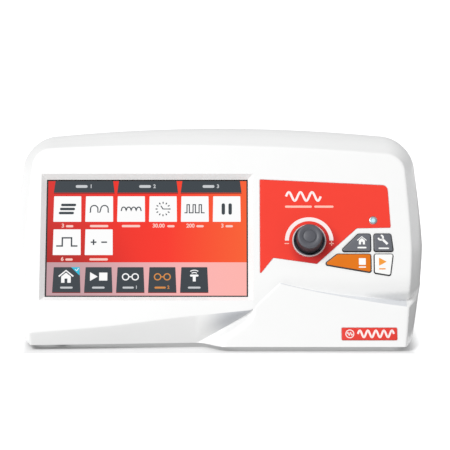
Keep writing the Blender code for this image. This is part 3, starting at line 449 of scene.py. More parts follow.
def lit(name, base, glow=0.86):
    """A part of the lit picture: it shines with its own colour under a glossy front."""
    material = surface(name, scaled(base, 0.12), 0.25, coat=PICTURE_COAT, shine=0.2, relief=0.0, mottle=0.01)
    shader = material.node_tree.nodes["Principled BSDF"]
    shader.inputs["Emission Color"].default_value = (*base, 1)
    shader.inputs["Emission Strength"].default_value = glow
    return material


def colour_run(tree, value, stops):
    """A colour that runs through stops of (position, colour)."""
    ramp = add_node(tree, "ShaderNodeValToRGB")
    elements = ramp.color_ramp.elements
    for element, (position, base) in zip(elements, (stops[0], stops[-1])):
        element.position = position
        element.color = (*base, 1)
    for position, base in stops[1:-1]:
        elements.new(position).color = (*base, 1)
    tree.links.new(value, ramp.inputs["Fac"])
    return ramp.outputs["Color"]


def shaded_picture(name, stops, dark_corner):
    """A lit backdrop whose colour runs along the picture, and darkens towards its lower left corner."""
    material = surface(name, scaled(stops[0][1], 0.05), 0.25, coat=PICTURE_COAT, shine=0.2, relief=0.0)
    tree = material.node_tree
    shader = tree.nodes["Principled BSDF"]
    left, bottom = (centre - size / 2 for centre, size in zip(DISPLAY_CENTRE, PICTURE_SIZE))
    right = DISPLAY_CENTRE[0] + PICTURE_SIZE[0] / 2
    split = add_node(tree, "ShaderNodeSeparateXYZ")
    tree.links.new(add_node(tree, "ShaderNodeTexCoord").outputs["Object"], split.inputs["Vector"])
    run = ranged(tree, split.outputs["X"], left * MM, right * MM)
    distance = distance_from(tree, (left * MM, bottom * MM, GLASS_FRONT * MM))
    share = ranged(tree, distance, 0.0, CORNER_REACH, CORNER_DARKNESS, 0.0, "SMOOTHSTEP")
    backdrop = mixed(tree, share, colour_run(tree, run, stops), dark_corner)
    tree.links.new(backdrop, shader.inputs["Emission Color"])
    shader.inputs["Emission Strength"].default_value = BACKDROP_GLOW
    return material


def with_painted_shade(material, spot, near, far, dark):
    """Paints shade onto a material around a place, given in metres in the piece's own coordinates."""
    tree = material.node_tree
    base = tree.nodes["Principled BSDF"].inputs["Base Color"]
    share = ranged(tree, distance_from(tree, spot), near, far, kind="SMOOTHSTEP")
    tree.links.new(mixed(tree, share, dark, base.links[0].from_socket), base)
    return material


def glass(name, base):
    """A clear plastic."""
    material = surface(name, base, 0.05, grain=400, relief=0.0, mottle=0.01)
    shader = material.node_tree.nodes["Principled BSDF"]
    shader.inputs["Transmission Weight"].default_value = 0.9
    shader.inputs["IOR"].default_value = 1.5
    return material


CASING_COLOUR = colour(241, 241, 240)
CASING_FINISH = {"roughness": 0.34, "coat": 0.12, "grain": 1400, "relief": 0.035, "mottle": 0.006}
METAL = {"metallic": 1.0, "grain": 900}
WHITE = surface("white_casing", CASING_COLOUR, **CASING_FINISH)
# The strip above the ridge: a satin finish, and its grey is painted shade standing for the shelf's shading
SATIN_PAINTED_SHADE = surface("satin_painted_shade", colour(221, 223, 226), 0.55, grain=900, relief=0.06, mottle=0.01)
WHITE_KEY = surface("white_key", colour(246, 246, 244), 0.35, grain=1800)
KNOB_GREY = surface("knob_grey", colour(80, 81, 88), 0.42, grain=2200, relief=0.08, mottle=0.05)
KNOB_SIDE = surface("knob_side", colour(38, 38, 44), 0.5, grain=2200, relief=0.1, mottle=0.05)
WELL_GREY = surface("well_grey", colour(120, 124, 134), 0.35, grain=2000, relief=0.05)
# The well's pale bead, tinted pink as a painted reflection of the red label round it
WELL_BEAD_PINK_REFLECTION = surface("well_bead_pink_reflection", colour(245, 214, 208), 0.3, grain=2000)
KEY_DARK = surface("key_border", colour(40, 42, 46), 0.45, grain=2000, relief=0.06)
KEY_GREY = surface("grey_key", colour(99, 101, 108), 0.4, grain=2000, relief=0.06, mottle=0.03)
KEY_ORANGE = surface("orange_key", colour(222, 115, 6), 0.45, shine=0.2, grain=2000, relief=0.06, mottle=0.02)
BLACK = surface("black_plastic", colour(46, 47, 50), 0.45, grain=1600, relief=0.12, mottle=0.05)
RUBBER = surface("rubber", colour(40, 40, 41), 0.75, grain=1100, relief=0.25, mottle=0.08)
SILICONE = surface("silicone", colour(150, 152, 155), 0.65, grain=900, relief=0.1)
BOARD_GREEN = surface("circuit_board", colour(30, 110, 66), 0.4, coat=0.3, grain=500, relief=0.1, mottle=0.12)
STEEL = surface("steel", colour(176, 178, 181), 0.32, relief=0.08, stretch=(1, 1, 8), **METAL)
ALUMINIUM = surface(
    "panel_aluminium", colour(196, 198, 201), 0.38, metallic=1.0, grain=700, relief=0.06, stretch=(0.05, 1, 6)
)
COPPER = surface(
    "copper", colour(186, 116, 72), 0.35, metallic=0.9, grain=600, relief=0.3, stretch=(1, 14, 1)
)
BRASS = surface("brass", colour(205, 170, 98), 0.3, relief=0.05, **METAL)
DARK_GLASS = surface("dark_glass", colour(16, 16, 18), 0.12, coat=1.0, grain=500, relief=0.0, mottle=0.1)
CLEAR = glass("lens", colour(222, 246, 252))
BADGE_RED = surface("badge_red", colour(226, 60, 50), 0.3, coat=0.2, shine=0.2, grain=1500, relief=0.01)
INK_WHITE = surface("white_ink", colour(248, 232, 230), 0.45, grain=2600)
INK_PINK = surface("pink_ink", colour(252, 186, 170), 0.45, grain=2600)
INK_ORANGE = surface("orange_ink", colour(240, 150, 30), 0.45, grain=2600)
LED_CYAN = lit("indicator_light", colour(190, 238, 250), 0.9)
SLATE = lit("picture_slate", colour(58, 65, 71))
PICTURE_WHITE = lit("picture_white", colour(252, 252, 252))
PICTURE_GREY = lit("picture_grey", colour(200, 203, 206))
PICTURE_INK = lit("picture_ink", colour(60, 68, 74))
PICTURE_TEXT = lit("picture_caption", colour(250, 205, 196))
PICTURE_ORANGE = lit("picture_orange", colour(214, 140, 70))
PICTURE_CYAN = lit("picture_cyan", colour(40, 190, 220))
PICTURE_LINE = lit("picture_line", colour(120, 30, 28))
PICTURE_RED = shaded_picture(
    "picture_red",
    (
        (0.0, colour(212, 42, 36)),
        (0.35, colour(236, 44, 32)),
        (0.6, colour(246, 52, 36)),
        (1.0, colour(246, 96, 46)),
    ),
    colour(130, 22, 18),
)
PICTURE_BAND = shaded_picture(
    "picture_band",
    (
        (0.0, colour(196, 158, 163)),
        (0.45, colour(228, 170, 173)),
        (0.75, colour(250, 178, 175)),
        (1.0, colour(252, 178, 170)),
    ),
    colour(188, 150, 156),
)
# The red label film, with the knob's shadow painted on it towards the knob's lower right
RED_FILM = with_painted_shade(
    surface("red_film", colour(238, 64, 50), 0.45, shine=0.12, grain=2500, relief=0.02, mottle=0.01),
    ((KNOB_CENTRE[0] + KNOB_SHADOW_SHIFT) * MM, (KNOB_CENTRE[1] - KNOB_SHADOW_SHIFT) * MM, 0),
    *KNOB_SHADOW_FADE,
    colour(196, 44, 42),
)
# The casing's white with shade painted on the wedge beside the fold, darkest at its middle
WEDGE_PAINTED_SHADE = with_painted_shade(
    surface("wedge_painted_shade", CASING_COLOUR, **CASING_FINISH),
    FACE @ (Vector(WEDGE_SHADE_CENTRE) * MM),
    *WEDGE_SHADE_FADE,
    colour(190, 192, 196),
)

# ---------------------------------------------------------------- mesh helpers


def add_object(name, shape, matrix=None):
    """A new object from a bmesh."""
    mesh = bpy.data.meshes.new(name)
    shape.to_mesh(mesh)
    shape.free()
    obj = bpy.data.objects.new(name, mesh)
    bpy.context.scene.collection.objects.link(obj)
    if matrix is not None:
        obj.matrix_world = matrix
    return obj


def solid_object(name, shape, matrix=None):
    """A new object from a bmesh, with its faces turned outwards."""
    bmesh.ops.recalc_face_normals(shape, faces=shape.faces)
    return add_object(name, shape, matrix)


def add_piece(name, shape, materials, slot, matrix=None, body="console"):
    """A piece from a bmesh, with its materials and its body. Its slot for a finish is not used."""
    obj = solid_object(name, shape, matrix)
    for material in materials if isinstance(materials, list) else [materials]:
        obj.data.materials.append(material)
    shade(obj, SMOOTH_ANGLE)
    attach(obj, body)
    return obj


def shade(obj, sharp_angle):
    """Smooth shading, with edges sharper than an angle left sharp."""
    obj.data.shade_smooth()
    obj.data.set_sharp_from_angle(angle=sharp_angle)


def prism(shape, outline, low, high):
    """A closed block between two heights over an outline."""
    lofted(shape, ((outline, low), (outline, high)))


def close_rings(shape, rings):
    """Skin over rings with the same number of points, closed at both ends."""
    count = len(rings[0])
    for lower, upper in zip(rings, rings[1:]):
        for i in range(count):
            j = (i + 1) % count
            shape.faces.new((lower[i], lower[j], upper[j], upper[i]))
    shape.faces.new(rings[0][::-1])
    shape.faces.new(rings[-1])


def lofted(shape, levels):
    """A closed block through outlines at given heights, each as (outline, height)."""
    close_rings(shape, [[shape.verts.new(Vector((x, y, z)) * MM) for x, y in line] for line, z in levels])


def stepped(shape, corners, levels, radius, gap=0.0, follow=0.0):
    """A block whose rounded outline grows by a gap and by each level's growth, as (height, growth).

    The corners' radius follows that growth by a share.
    """
    outlines = []
    for height, growth in levels:
        outlines.append((rounded(grown(corners, gap + growth), radius + follow * growth), height))
    lofted(shape, outlines)


def turned(shape, profile, centre=(0, 0), sides=96, material_of=None):
    """A turned shape about Z through a closed profile of (radius, height)."""
    rings = []
    for i in range(sides):
        turn = 2 * math.pi * i / sides
        ring = []
        for radius, height in profile:
            spot = Vector((centre[0] + radius * math.cos(turn), centre[1] + radius * math.sin(turn), height))
            ring.append(shape.verts.new(spot * MM))
        rings.append(ring)
    count = len(profile)
    for i in range(sides):
        here, there = rings[i], rings[(i + 1) % sides]
        for j in range(count):
            k = (j + 1) % count
            if profile[j][0] == 0 and profile[k][0] == 0:
                continue
            face = shape.faces.new((here[j], there[j], there[k], here[k]))
            if material_of:
                face.material_index = material_of(profile[j], profile[k])
    bmesh.ops.remove_doubles(shape, verts=shape.verts, dist=SAME_PLACE)
    bmesh.ops.dissolve_degenerate(shape, edges=shape.edges, dist=SAME_PLACE)


def rounded(corners, radius=None, steps=6):
    """The outline through corners (x, y) or (x, y, radius), with each corner turned into an arc."""
    points = []
    count = len(corners)
    for i, corner in enumerate(corners):
        here = Vector(corner[:2])
        before = (Vector(corners[i - 1][:2]) - here).normalized()
        after = (Vector(corners[(i + 1) % count][:2]) - here).normalized()
        bend = corner[2] if radius is None else radius
        half_angle = before.angle(after) / 2
        centre = here + (before + after).normalized() * bend / math.sin(half_angle)
        start = here + before * bend / math.tan(half_angle) - centre
        turn = start.angle_signed(here + after * bend / math.tan(half_angle) - centre)
        for step in range(steps + 1):
            spot = centre + Matrix.Rotation(-turn * step / steps, 2) @ start
            points.append((spot.x, spot.y))
    return points


def grown(corners, distance):
    """The same clockwise outline with every side moved outwards."""
    moved = []
    count = len(corners)
    for i, corner in enumerate(corners):
        here = Vector(corner[:2])
        into = (here - Vector(corners[i - 1][:2])).normalized()
        out = (Vector(corners[(i + 1) % count][:2]) - here).normalized()
        normal = (Vector((-into.y, into.x)) + Vector((-out.y, out.x))).normalized()
        spot = here + normal * distance / normal.dot(Vector((-into.y, into.x)))
        moved.append((spot.x, spot.y))
    return moved


def circle(centre, radius, sides=64):
    """Points of a circle, clockwise."""
    turns = [-2 * math.pi * i / sides for i in range(sides)]
    return [(centre[0] + radius * math.cos(turn), centre[1] + radius * math.sin(turn)) for turn in turns]


def centred(centre, size):
    """The corners of a rectangle about its middle, clockwise."""
    x, y = centre
    w, h = size[0] / 2, size[1] / 2
    return [(x - w, y - h), (x - w, y + h), (x + w, y + h), (x + w, y - h)]


def plate_with_holes(shape, outlines, low, high):
    """A flat piece between two heights. The first outline is its edge, and any others are holes in it."""
    curve = bpy.data.curves.new("plate", "CURVE")
    curve.dimensions = "2D"
    curve.fill_mode = "BOTH"
    curve.extrude = (high - low) / 2 * MM
    for outline in outlines:
        spline = curve.splines.new("POLY")
        spline.points.add(len(outline) - 1)
        for point, (x, y) in zip(spline.points, outline):
            point.co = (x * MM, y * MM, 0, 1)
        spline.use_cyclic_u = True
    add_curve(shape, curve, (0, 0, (low + high) / 2))


def add_curve(shape, curve, shift):
    """Adds a curve's or text's mesh to a shape."""
    guide = bpy.data.objects.new("guide", curve)
    bpy.context.scene.collection.objects.link(guide)
    bpy.context.view_layer.update()
    mesh = bpy.data.meshes.new_from_object(guide.evaluated_get(bpy.context.evaluated_depsgraph_get()))
    bpy.data.objects.remove(guide)
    mesh.transform(Matrix.Translation(Vector(shift) * MM))
    shape.from_mesh(mesh)
    bpy.data.meshes.remove(mesh)
    bmesh.ops.remove_doubles(shape, verts=shape.verts, dist=SAME_PLACE_IN_PRINT)


def block(low, high):
    """A rectangle's corners, clockwise."""
    return [low, (low[0], high[1]), high, (high[0], low[1])]


def boolean(obj, tools, operation):
    """Cuts or joins each tool in turn, applies the result and removes the tools."""
    for tool in tools:
        modifier = obj.modifiers.new(tool.name, "BOOLEAN")
        modifier.operation = operation
        modifier.object = tool
        modifier.solver = "MANIFOLD"
    apply_modifiers(obj)
    for tool in tools:
        bpy.data.objects.remove(tool)


def apply_modifiers(obj):
    """Puts the result of an object's modifiers in place of its mesh."""
    bpy.context.view_layer.update()
    evaluated = obj.evaluated_get(bpy.context.evaluated_depsgraph_get())
    mesh = bpy.data.meshes.new_from_object(evaluated)
    obj.modifiers.clear()
    old = obj.data
    obj.data = mesh
    bpy.data.meshes.remove(old)


# ---------------------------------------------------------------- casing surface


def smooth(share):
    """A share from 0 to 1 that starts and ends gently."""
    share = min(max(share, 0.0), 1.0)
    return share * share * (3 - 2 * share)


def curve_at(points, x):
    """The smooth curve through (x, y) points, straight beyond its ends."""
    slopes = [(b[1] - a[1]) / (b[0] - a[0]) for a, b in zip(points, points[1:])]
    tangents = [slopes[0], *((a + b) / 2 for a, b in zip(slopes, slopes[1:])), slopes[-1]]
    if x <= points[0][0]:
        return points[0][1] + (x - points[0][0]) * slopes[0]
    if x >= points[-1][0]:
        return points[-1][1] + (x - points[-1][0]) * slopes[-1]
    i = next(i for i, stop in enumerate(points[1:]) if x <= stop[0])
    (x0, y0), (x1, y1) = points[i], points[i + 1]
    span = x1 - x0
    t = (x - x0) / span
    rise = span * (tangents[i] * t * (1 - t) ** 2 - tangents[i + 1] * t * t * (1 - t))
    return y0 + (y1 - y0) * smooth(t) + rise


def half_width(widths, height):
    """Bulging sides, which fall away from the widest point to both ends."""
    (low, low_width), (middle, wide), (high, high_width) = widths
    end, end_width = (low, low_width) if height < middle else (high, high_width)
    return wide - (wide - end_width) * max((height - middle) / (end - middle), 0.0) ** SIDE_POWER


def fold_place(up):
    """Where the band's lower fold lies at a height up the face, and the fold's depth there."""
    share = (up - BAND_FOLD_START[1]) / (BAND_FOLD_END[1] - BAND_FOLD_START[1])
    across = BAND_FOLD_START[0] + (BAND_FOLD_END[0] - BAND_FOLD_START[0]) * share
    return across, BAND_FOLD_DEPTH * (1 - min(max(share, 0), 1)) ** FOLD_DEPTH_POWER


def ramp_depth(across, up):
    """Depth of the ramp by which the raised band comes forward from its fold."""
    fold_across, depth = fold_place(up)
    if depth == 0:
        return 0.0
    width = BAND_RAMP * depth / BAND_FOLD_DEPTH
    fold_across = max(fold_across, BAND_FOLD_START[0])
    return depth * (1 - smooth((across - fold_across) / width))


def facet_depth(across, up, crease):
    """Depth of the lower left facet."""
    (start_x, start_y), (end_x, end_y) = BAND_FOLD_START, BAND_FOLD_END
    power = 1.0
    if across <= start_x:
        depth = curve_at(FACET_DEPTH, across)
        base = depth * math.tan(FACE_TILT)
    else:
        share = (across - start_x) / (end_x - start_x)
        depth = BAND_FOLD_DEPTH * (1 - share) ** FOLD_DEPTH_POWER
        base = start_y + (end_y - start_y) * share
        power += FACET_TWIST * math.sqrt(share)
    return depth * max((crease - up) / max(crease - base, 0.01), 0.0) ** power


def valley_depth(across):
    """Depth of the valley's floor beside the ridge."""
    depth = VALLEY_DEPTH * past_ridge_corner(across) ** VALLEY_GROWTH
    beside_band, at_ridge = STEP_BESIDE_BAND, STEP_AT_RIDGE
    step = beside_band[0] * smooth((across - BAND_FOLD_END[0]) / beside_band[1])
    step += at_ridge[0] * smooth((across - RIDGE_CORNER[0]) / at_ridge[1])
    return step + depth


def past_ridge_corner(across):
    """The share of the way from the ridge's corner to the valley's end."""
    return min(max((across - RIDGE_CORNER[0]) / (VALLEY_END - RIDGE_CORNER[0]), 0), 1)


def shelf_run(across):
    """How far up the face the shelf reaches from the ridge."""
    least, growth, power = SHELF_RUN
    return least + growth * past_ridge_corner(across) ** power


def ridge_height(across):
    """The raised band's upper edge."""
    if across < RIDGE_CORNER[0]:
        share = (across - BAND_FOLD_END[0]) / (RIDGE_CORNER[0] - BAND_FOLD_END[0])
        return BAND_FOLD_END[1] + (RIDGE_CORNER[1] - BAND_FOLD_END[1]) * share
    return curve_at(RIDGE, across)


def raw_depth(across, up):
    """Depth behind the face plane, with sharp folds."""
    if across < BAND_FOLD_END[0]:
        crease = curve_at(FACET_CREASE, across)
        if up >= crease:
            return 0.0
        return facet_depth(across, up, crease) if across <= fold_place(up)[0] else ramp_depth(across, up)
    ridge = ridge_height(across)
    if up <= ridge or up >= VALLEY_TOP:
        return 0.0
    valley = valley_depth(across)
    floor = ridge + shelf_run(across)
    groove = GROOVE_DEPTH * smooth((across - GROOVE_START) / (VALLEY_END - GROOVE_START))
    if up < floor:
        return (valley + groove) * (up - ridge) / (floor - ridge)
    groove *= math.exp(-(((up - floor) / GROOVE_WIDTH) ** 2))
    return valley * (1 - (up - floor) / (VALLEY_TOP - floor)) ** VALLEY_POWER + groove


def face_depth(across, up):
    """Depth behind the face plane, with its folds rounded off by a weighted mean around each place."""
    total = weights = 0.0
    for dx in (-1, 0, 1):
        for dy in (-1, -0.5, 0, 0.5, 1):
            weight = (2 - abs(dx)) * (1.5 - abs(dy))
            weights += weight
            total += weight * raw_depth(across + dx * FILLET_ACROSS, up + dy * FILLET)
    return total / weights


class Outline:
    """A cross-section of the casing: bulging sides, rounded upper corners and a crowned top."""

    def __init__(self, widths, top, radius, inset=0.0):
        self.widths = widths
        self.top = top
        self.radius = radius
        self.inset = inset
        self.centres = {}
        for side in (-1, 1):
            outer = half_width(widths, top(side * (widths[2][1] - radius)) - radius)
            start = top(side * (outer - radius)) - radius
            self.centres[side] = (side * (half_width(widths, start) - radius), start)

    def side(self, side, share):
        """A point from the bottom, share 0, to the middle of the corner, share 1."""
        centre_x, start = self.centres[side]
        run = share * (start + self.radius * math.pi / 4)
        if run <= start:
            return side * (half_width(self.widths, run) - self.inset), run
        turn = (run - start) / self.radius
        reach = self.radius - self.inset
        return centre_x + side * reach * math.cos(turn), start + reach * math.sin(turn)

    def share_of(self, side, height):
        """The share at which a side reaches a height."""
        return height / (self.centres[side][1] + self.radius * math.pi / 4)

    def over(self, share):
        """A point from the middle of the left corner, share 0, over the top to that of the right one."""
        (left_x, left_start), (right_x, right_start) = self.centres[-1], self.centres[1]
        arc_length = self.radius * math.pi / 4
        run = share * (2 * arc_length + right_x - left_x)
        reach = self.radius - self.inset
        if run < arc_length:
            turn = math.pi / 4 + run / self.radius
            return left_x - reach * math.cos(turn), left_start + reach * math.sin(turn)
        if run > arc_length + right_x - left_x:
            turn = math.pi / 2 - (run - arc_length - right_x + left_x) / self.radius
            return right_x + reach * math.cos(turn), right_start + reach * math.sin(turn)
        across = left_x + run - arc_length
        return across, self.top(across) - self.inset


def face_top(across):
    """Height of the face's crowned and slightly skew top edge."""
    share = across / CROWN_HALF_WIDTH
    return FACE_TOP - FACE_CROWN * share * share - FACE_SKEW * share


FACE_EDGE = Outline(FACE_WIDTHS, face_top, FACE_RADIUS)
FACE_INSIDE = Outline(FACE_WIDTHS, face_top, FACE_RADIUS, RIM_RADIUS)
FACE_HALF = FACE_WIDTHS[0][1] - RIM_RADIUS
# Rows of cells up the face: to the ridge or fold, over the shelf, to the valley's top and to the face's top
LOWER_ROWS = 12
SHELF_ROWS = 8
VALLEY_ROWS = 22
UPPER_ROWS = 40
# Columns are at most this far apart, and the nearer to a side, the more they follow its bulge, by this power
COLUMN_STEP = 1.5
COLUMN_SPREAD_POWER = 8
# The height at which a column's place across decides where its rows lie
COLUMN_HEIGHT = 30
# Least heights of the rows below a fold and over the shelf
LEAST_LOWER = 1.0
LEAST_SHELF = 0.8
# On the facet the lower rows rise to this share of its height, over this distance left of the fold
FACET_ROW_SHARE = 0.35
FACET_ROW_RUN = 30


def spaced(stops, step):
    """Values through every stop, no further apart than step."""
    values = []
    for low, high in zip(stops, stops[1:]):
        count = math.ceil((high - low) / step)
        values += [low + (high - low) * i / count for i in range(count)]
    return [*values, stops[-1]]


COLUMN_STOPS = (-FACE_HALF, BAND_FOLD_START[0], BAND_FOLD_END[0], RIDGE_CORNER[0], 60.0, FACE_HALF)
COLUMNS = spaced(COLUMN_STOPS, COLUMN_STEP)


def column_place(column, up):
    """A column's place across at a height: straight in the middle, along the bulging side at the edge."""
    bulge = half_width(FACE_WIDTHS, up) - FACE_WIDTHS[0][1]
    return column + math.copysign(bulge * (abs(column) / FACE_HALF) ** COLUMN_SPREAD_POWER, column)


def eased(low, high, count):
    """Values from low up to high, without high, closer together at both ends."""
    return [low + (high - low) * smooth(i / count) for i in range(count)]


def bottom_of_ramp(across):
    """Height at which the ramp's surface reaches the casing's level bottom."""
    up = 0.0
    for _ in range(20):
        up = (up + ramp_depth(across, up) * math.tan(FACE_TILT)) / 2
    return up


def lower_heights(across):
    """Heights of a column's rows up to the valley's top, closer together at the folds."""
    if across <= BAND_FOLD_START[0]:
        bottom = curve_at(FACET_DEPTH, across) * math.tan(FACE_TILT)
        upper = curve_at(FACET_CREASE, across)
        rise = smooth((BAND_FOLD_START[0] - across) / FACET_ROW_RUN)
        lower = bottom + FACET_ROW_SHARE * (upper - bottom) * rise
    elif across < BAND_FOLD_END[0]:
        bottom = bottom_of_ramp(across)
        share = (across - BAND_FOLD_START[0]) / (BAND_FOLD_END[0] - BAND_FOLD_START[0])
        lower = BAND_FOLD_START[1] + (BAND_FOLD_END[1] - BAND_FOLD_START[1]) * share
        upper = curve_at(FACET_CREASE, across)
    else:
        bottom = 0.0
        lower = ridge_height(across)
        upper = lower + shelf_run(across)
    lower = max(lower, bottom + LEAST_LOWER)
    upper = max(upper, lower + LEAST_SHELF)
    rows = eased(bottom, lower, LOWER_ROWS) + eased(lower, upper, SHELF_ROWS)
    return rows + eased(upper, VALLEY_TOP, VALLEY_ROWS) + [VALLEY_TOP]


def upper_place(share, rise):
    """A place between the valley's top and the face's edge, at a share across and a rise from 0 to 1."""
    left_start = FACE_INSIDE.share_of(-1, VALLEY_TOP)
    right_start = FACE_INSIDE.share_of(1, VALLEY_TOP)
    left = Vector(FACE_INSIDE.side(-1, left_start + (1 - left_start) * rise))
    right = Vector(FACE_INSIDE.side(1, right_start + (1 - right_start) * rise))
    column = -FACE_HALF + 2 * FACE_HALF * share
    low = Vector((column_place(column, VALLEY_TOP), VALLEY_TOP))
    high = Vector(FACE_INSIDE.over(share))
    low_left = Vector((column_place(-FACE_HALF, VALLEY_TOP), VALLEY_TOP))
    low_right = Vector((column_place(FACE_HALF, VALLEY_TOP), VALLEY_TOP))
    corners = (low_left * (1 - share) + low_right * share) * (1 - rise)
    corners += (Vector(FACE_INSIDE.over(0)) * (1 - share) + Vector(FACE_INSIDE.over(1)) * share) * rise
    return low * (1 - rise) + high * rise + left * (1 - share) + right * share - corners


def face_world(across, up, out):
    """The world place in metres of a place on the face."""
    return FACE @ (Vector((across, up, out)) * MM)


def face_grid():
    """The face inside its rounded rim, as columns of world points from the bottom up."""
    columns = []
    for column in COLUMNS:
        line = []
        for up in lower_heights(column_place(column, COLUMN_HEIGHT)):
            across = column_place(column, up)
            line.append((across, up, -face_depth(across, up)))
        share = (column + FACE_HALF) / (2 * FACE_HALF)
        for i in range(1, UPPER_ROWS + 1):
            spot = upper_place(share, i / UPPER_ROWS)
            line.append((spot.x, spot.y, 0.0))
        line.insert(0, extended(line))
        columns.append([face_world(*spot) for spot in line])
    return columns


def extended(line):
    """A point below the line's first one, past the casing's bottom."""
    first, second = Vector(line[0]), Vector(line[1])
    return tuple(first + (first - second).normalized() * TRIM)


def ring_shares():
    """Shares of the side's length at each row of the left and right columns."""
    shares = {}
    for side in (-1, 1):
        heights = lower_heights(column_place(side * FACE_HALF, COLUMN_HEIGHT))
        start = FACE_EDGE.share_of(side, VALLEY_TOP)
        upper = [start + (1 - start) * i / UPPER_ROWS for i in range(1, UPPER_ROWS + 1)]
        shares[side] = ([FACE_EDGE.share_of(side, height) for height in heights] + upper, heights)
    return shares


def edge_ring(shares):
    """The face's sharp edge as one line of world points: up the left side, over the top, down the right."""
    sides = {}
    for side in (-1, 1):
        line = []
        for share in shares[side][0]:
            across, up = FACE_EDGE.side(side, share)
            line.append((across, up, -face_depth(across, up)))
        line.insert(0, extended(line))
        sides[side] = line
    over = [(*FACE_EDGE.over((column + FACE_HALF) / (2 * FACE_HALF)), 0.0) for column in COLUMNS[1:-1]]
    return [face_world(*spot) for spot in [*sides[-1], *over, *sides[1][::-1]]]


def section_ring(section, shares):
    """A section of the casing behind the face, with a point for each point of the face's edge."""
    (bottom_y, bottom_z), (top_y, top_z), widths, radius = section
    bottom = Vector((0, bottom_y, bottom_z))
    up_line = Vector((0, top_y, top_z)) - bottom
    length = up_line.length
    up_line.normalize()
    places = [(share * length, width) for share, width in zip(WIDTH_HEIGHTS, widths)]
    outline = Outline(places, lambda across: length - CROWN * (across / CROWN_HALF_WIDTH) ** 2, radius)
    sides = {}
    for side in (-1, 1):
        values = shares[side][0]
        low = values[0]
        line = [outline.side(side, (value - low) / (1 - low)) for value in values]
        sides[side] = [(line[0][0], -TRIM), *line]
    over = [outline.over((column + FACE_HALF) / (2 * FACE_HALF)) for column in COLUMNS[1:-1]]
    points = sides[-1] + over + sides[1][::-1]
    return [(bottom + up_line * v + Vector((x, 0, 0))) * MM for x, v in points]


def bend(start, control, end, steps):
    """Points of a rounded corner between start and end, without start."""
    line = []
    for i in range(1, steps + 1):
        t = i / steps
        line.append(start * (1 - t) ** 2 + control * 2 * t * (1 - t) + end * t * t)
    return line


def stations_at(stations, index, share):
    """A point on the smooth line through the stations, at a share of the stretch after station index."""
    lengths = [(b - a).length for a, b in zip(stations, stations[1:])]
    slopes = [(b - a) / max(length, 1e-9) for a, b, length in zip(stations, stations[1:], lengths)]
    tangents = [slopes[0]]
    for i in range(1, len(stations) - 1):
        before, after = lengths[i - 1], lengths[i]
        tangents.append((slopes[i - 1] * after + slopes[i] * before) / (before + after))
    tangents.append(slopes[-1])
    a, b = stations[index], stations[index + 1]
    rise = tangents[index] * (share * (1 - share) ** 2)
    rise -= tangents[index + 1] * (share * share * (1 - share))
    return a + (b - a) * smooth(share) + rise * lengths[index]


def towards_middle(point):
    """The direction from a point of the casing's skin to the flat core inside it."""
    across = min(max(point.x, -CORE_HALF_WIDTH), CORE_HALF_WIDTH)
    core = Vector((across, point.y, min(max(point.z, 0.0), CORE_HEIGHT)))
    return (core - point).normalized()


def skin_lines():
    """Lines of points that run back from each point of the face's edge, one point for each section."""
    shares = ring_shares()
    sections = [section_ring(section, shares) for section in SECTIONS]
    return [list(line) for line in zip(edge_ring(shares), *sections)]


def front_side(lines):
    """Rings of the front shell's side, behind its rim, up to its chamfered parting edge."""
    rings = []
    for k in range(1, FRONT_STEPS + 1):
        rings.append([stations_at(line, 0, k / FRONT_STEPS) for line in lines])
    last = rings.pop()
    edge = []
    for line, point in zip(lines, last):
        along = (line[1] - line[0]).normalized()
        edge.append(point - along * PARTING_CHAMFER * MM)
    return [*rings, edge, [point + towards_middle(point) * PARTING_CHAMFER * MM for point in last]]


def rear_side(lines):
    """Rings of the rear shell, from its chamfered parting edge to the rounded edge of the back wall."""
    gap = PARTING_GAP * MM
    first = [line[1] + (line[2] - line[1]).normalized() * gap for line in lines]
    rings = [[point + towards_middle(point) * PARTING_CHAMFER * MM for point in first]]
    before_fillet = 1 - BACK_FILLET * MM / (lines[0][-1] - lines[0][-2]).length
    for section, count in REAR_STEPS:
        shares = [k / count for k in range(1, count + 1)]
        if section == REAR_STEPS[0][0]:
            shares.insert(0, REAR_START)
        if section == REAR_STEPS[-1][0]:
            shares = [share * before_fillet for share in shares]
        rings += [[stations_at(line, section, share) for line in lines] for share in shares]
    return rings + back_edge(lines, rings[-1])


def back_edge(lines, ring):
    """Rings of the rounded edge between the sides and the back wall."""
    bends = []
    for line, point in zip(lines, ring):
        inward = line[-1] + towards_middle(line[-1]) * BACK_FILLET * MM
        bends.append(bend(point, line[-1], inward, FILLET_STEPS))
    return list(zip(*bends))


def skin_mesh(shape, rings):
    """Faces between open rings of the same number of points."""
    for lower, upper in zip(rings, rings[1:]):
        for i in range(len(lower) - 1):
            shape.faces.new((lower[i], lower[i + 1], upper[i + 1], upper[i]))


def rim_of(grid):
    """The outer line of a grid of columns: up the left one, over the top and down the right one."""
    return grid[0] + [column[-1] for column in grid[1:-1]] + grid[-1][::-1]


def shell(name, shape, materials, replaced):
    """Thickens a skin into a shell with a level lower edge."""
    bmesh.ops.remove_doubles(shape, verts=shape.verts, dist=SAME_PLACE)
    obj = add_piece(name, shape, materials, slot="white_casing")
    solidify = obj.modifiers.new("wall", "SOLIDIFY")
    solidify.thickness = WALL * MM
    solidify.offset = -1
    below = bmesh.new()
    prism(below, centred((0, 0), BELOW_SIZE), -20, CASING_BOTTOM)
    boolean(obj, [solid_object("below", below)], "DIFFERENCE")
    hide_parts(replaced)
    return obj


def face_material(column, row):
    """A face cell's material: 0 the casing's, 1 the satin strip above the ridge, grey with painted shade, 2
    the wedge beside the fold, with painted shade.
    """
    if not LOWER_ROWS < row <= LOWER_ROWS + SHELF_ROWS:
        return 0
    if column >= RIDGE_CORNER[0]:
        return 1
    return 2 if BAND_FOLD_START[0] <= column < BAND_FOLD_END[0] else 0


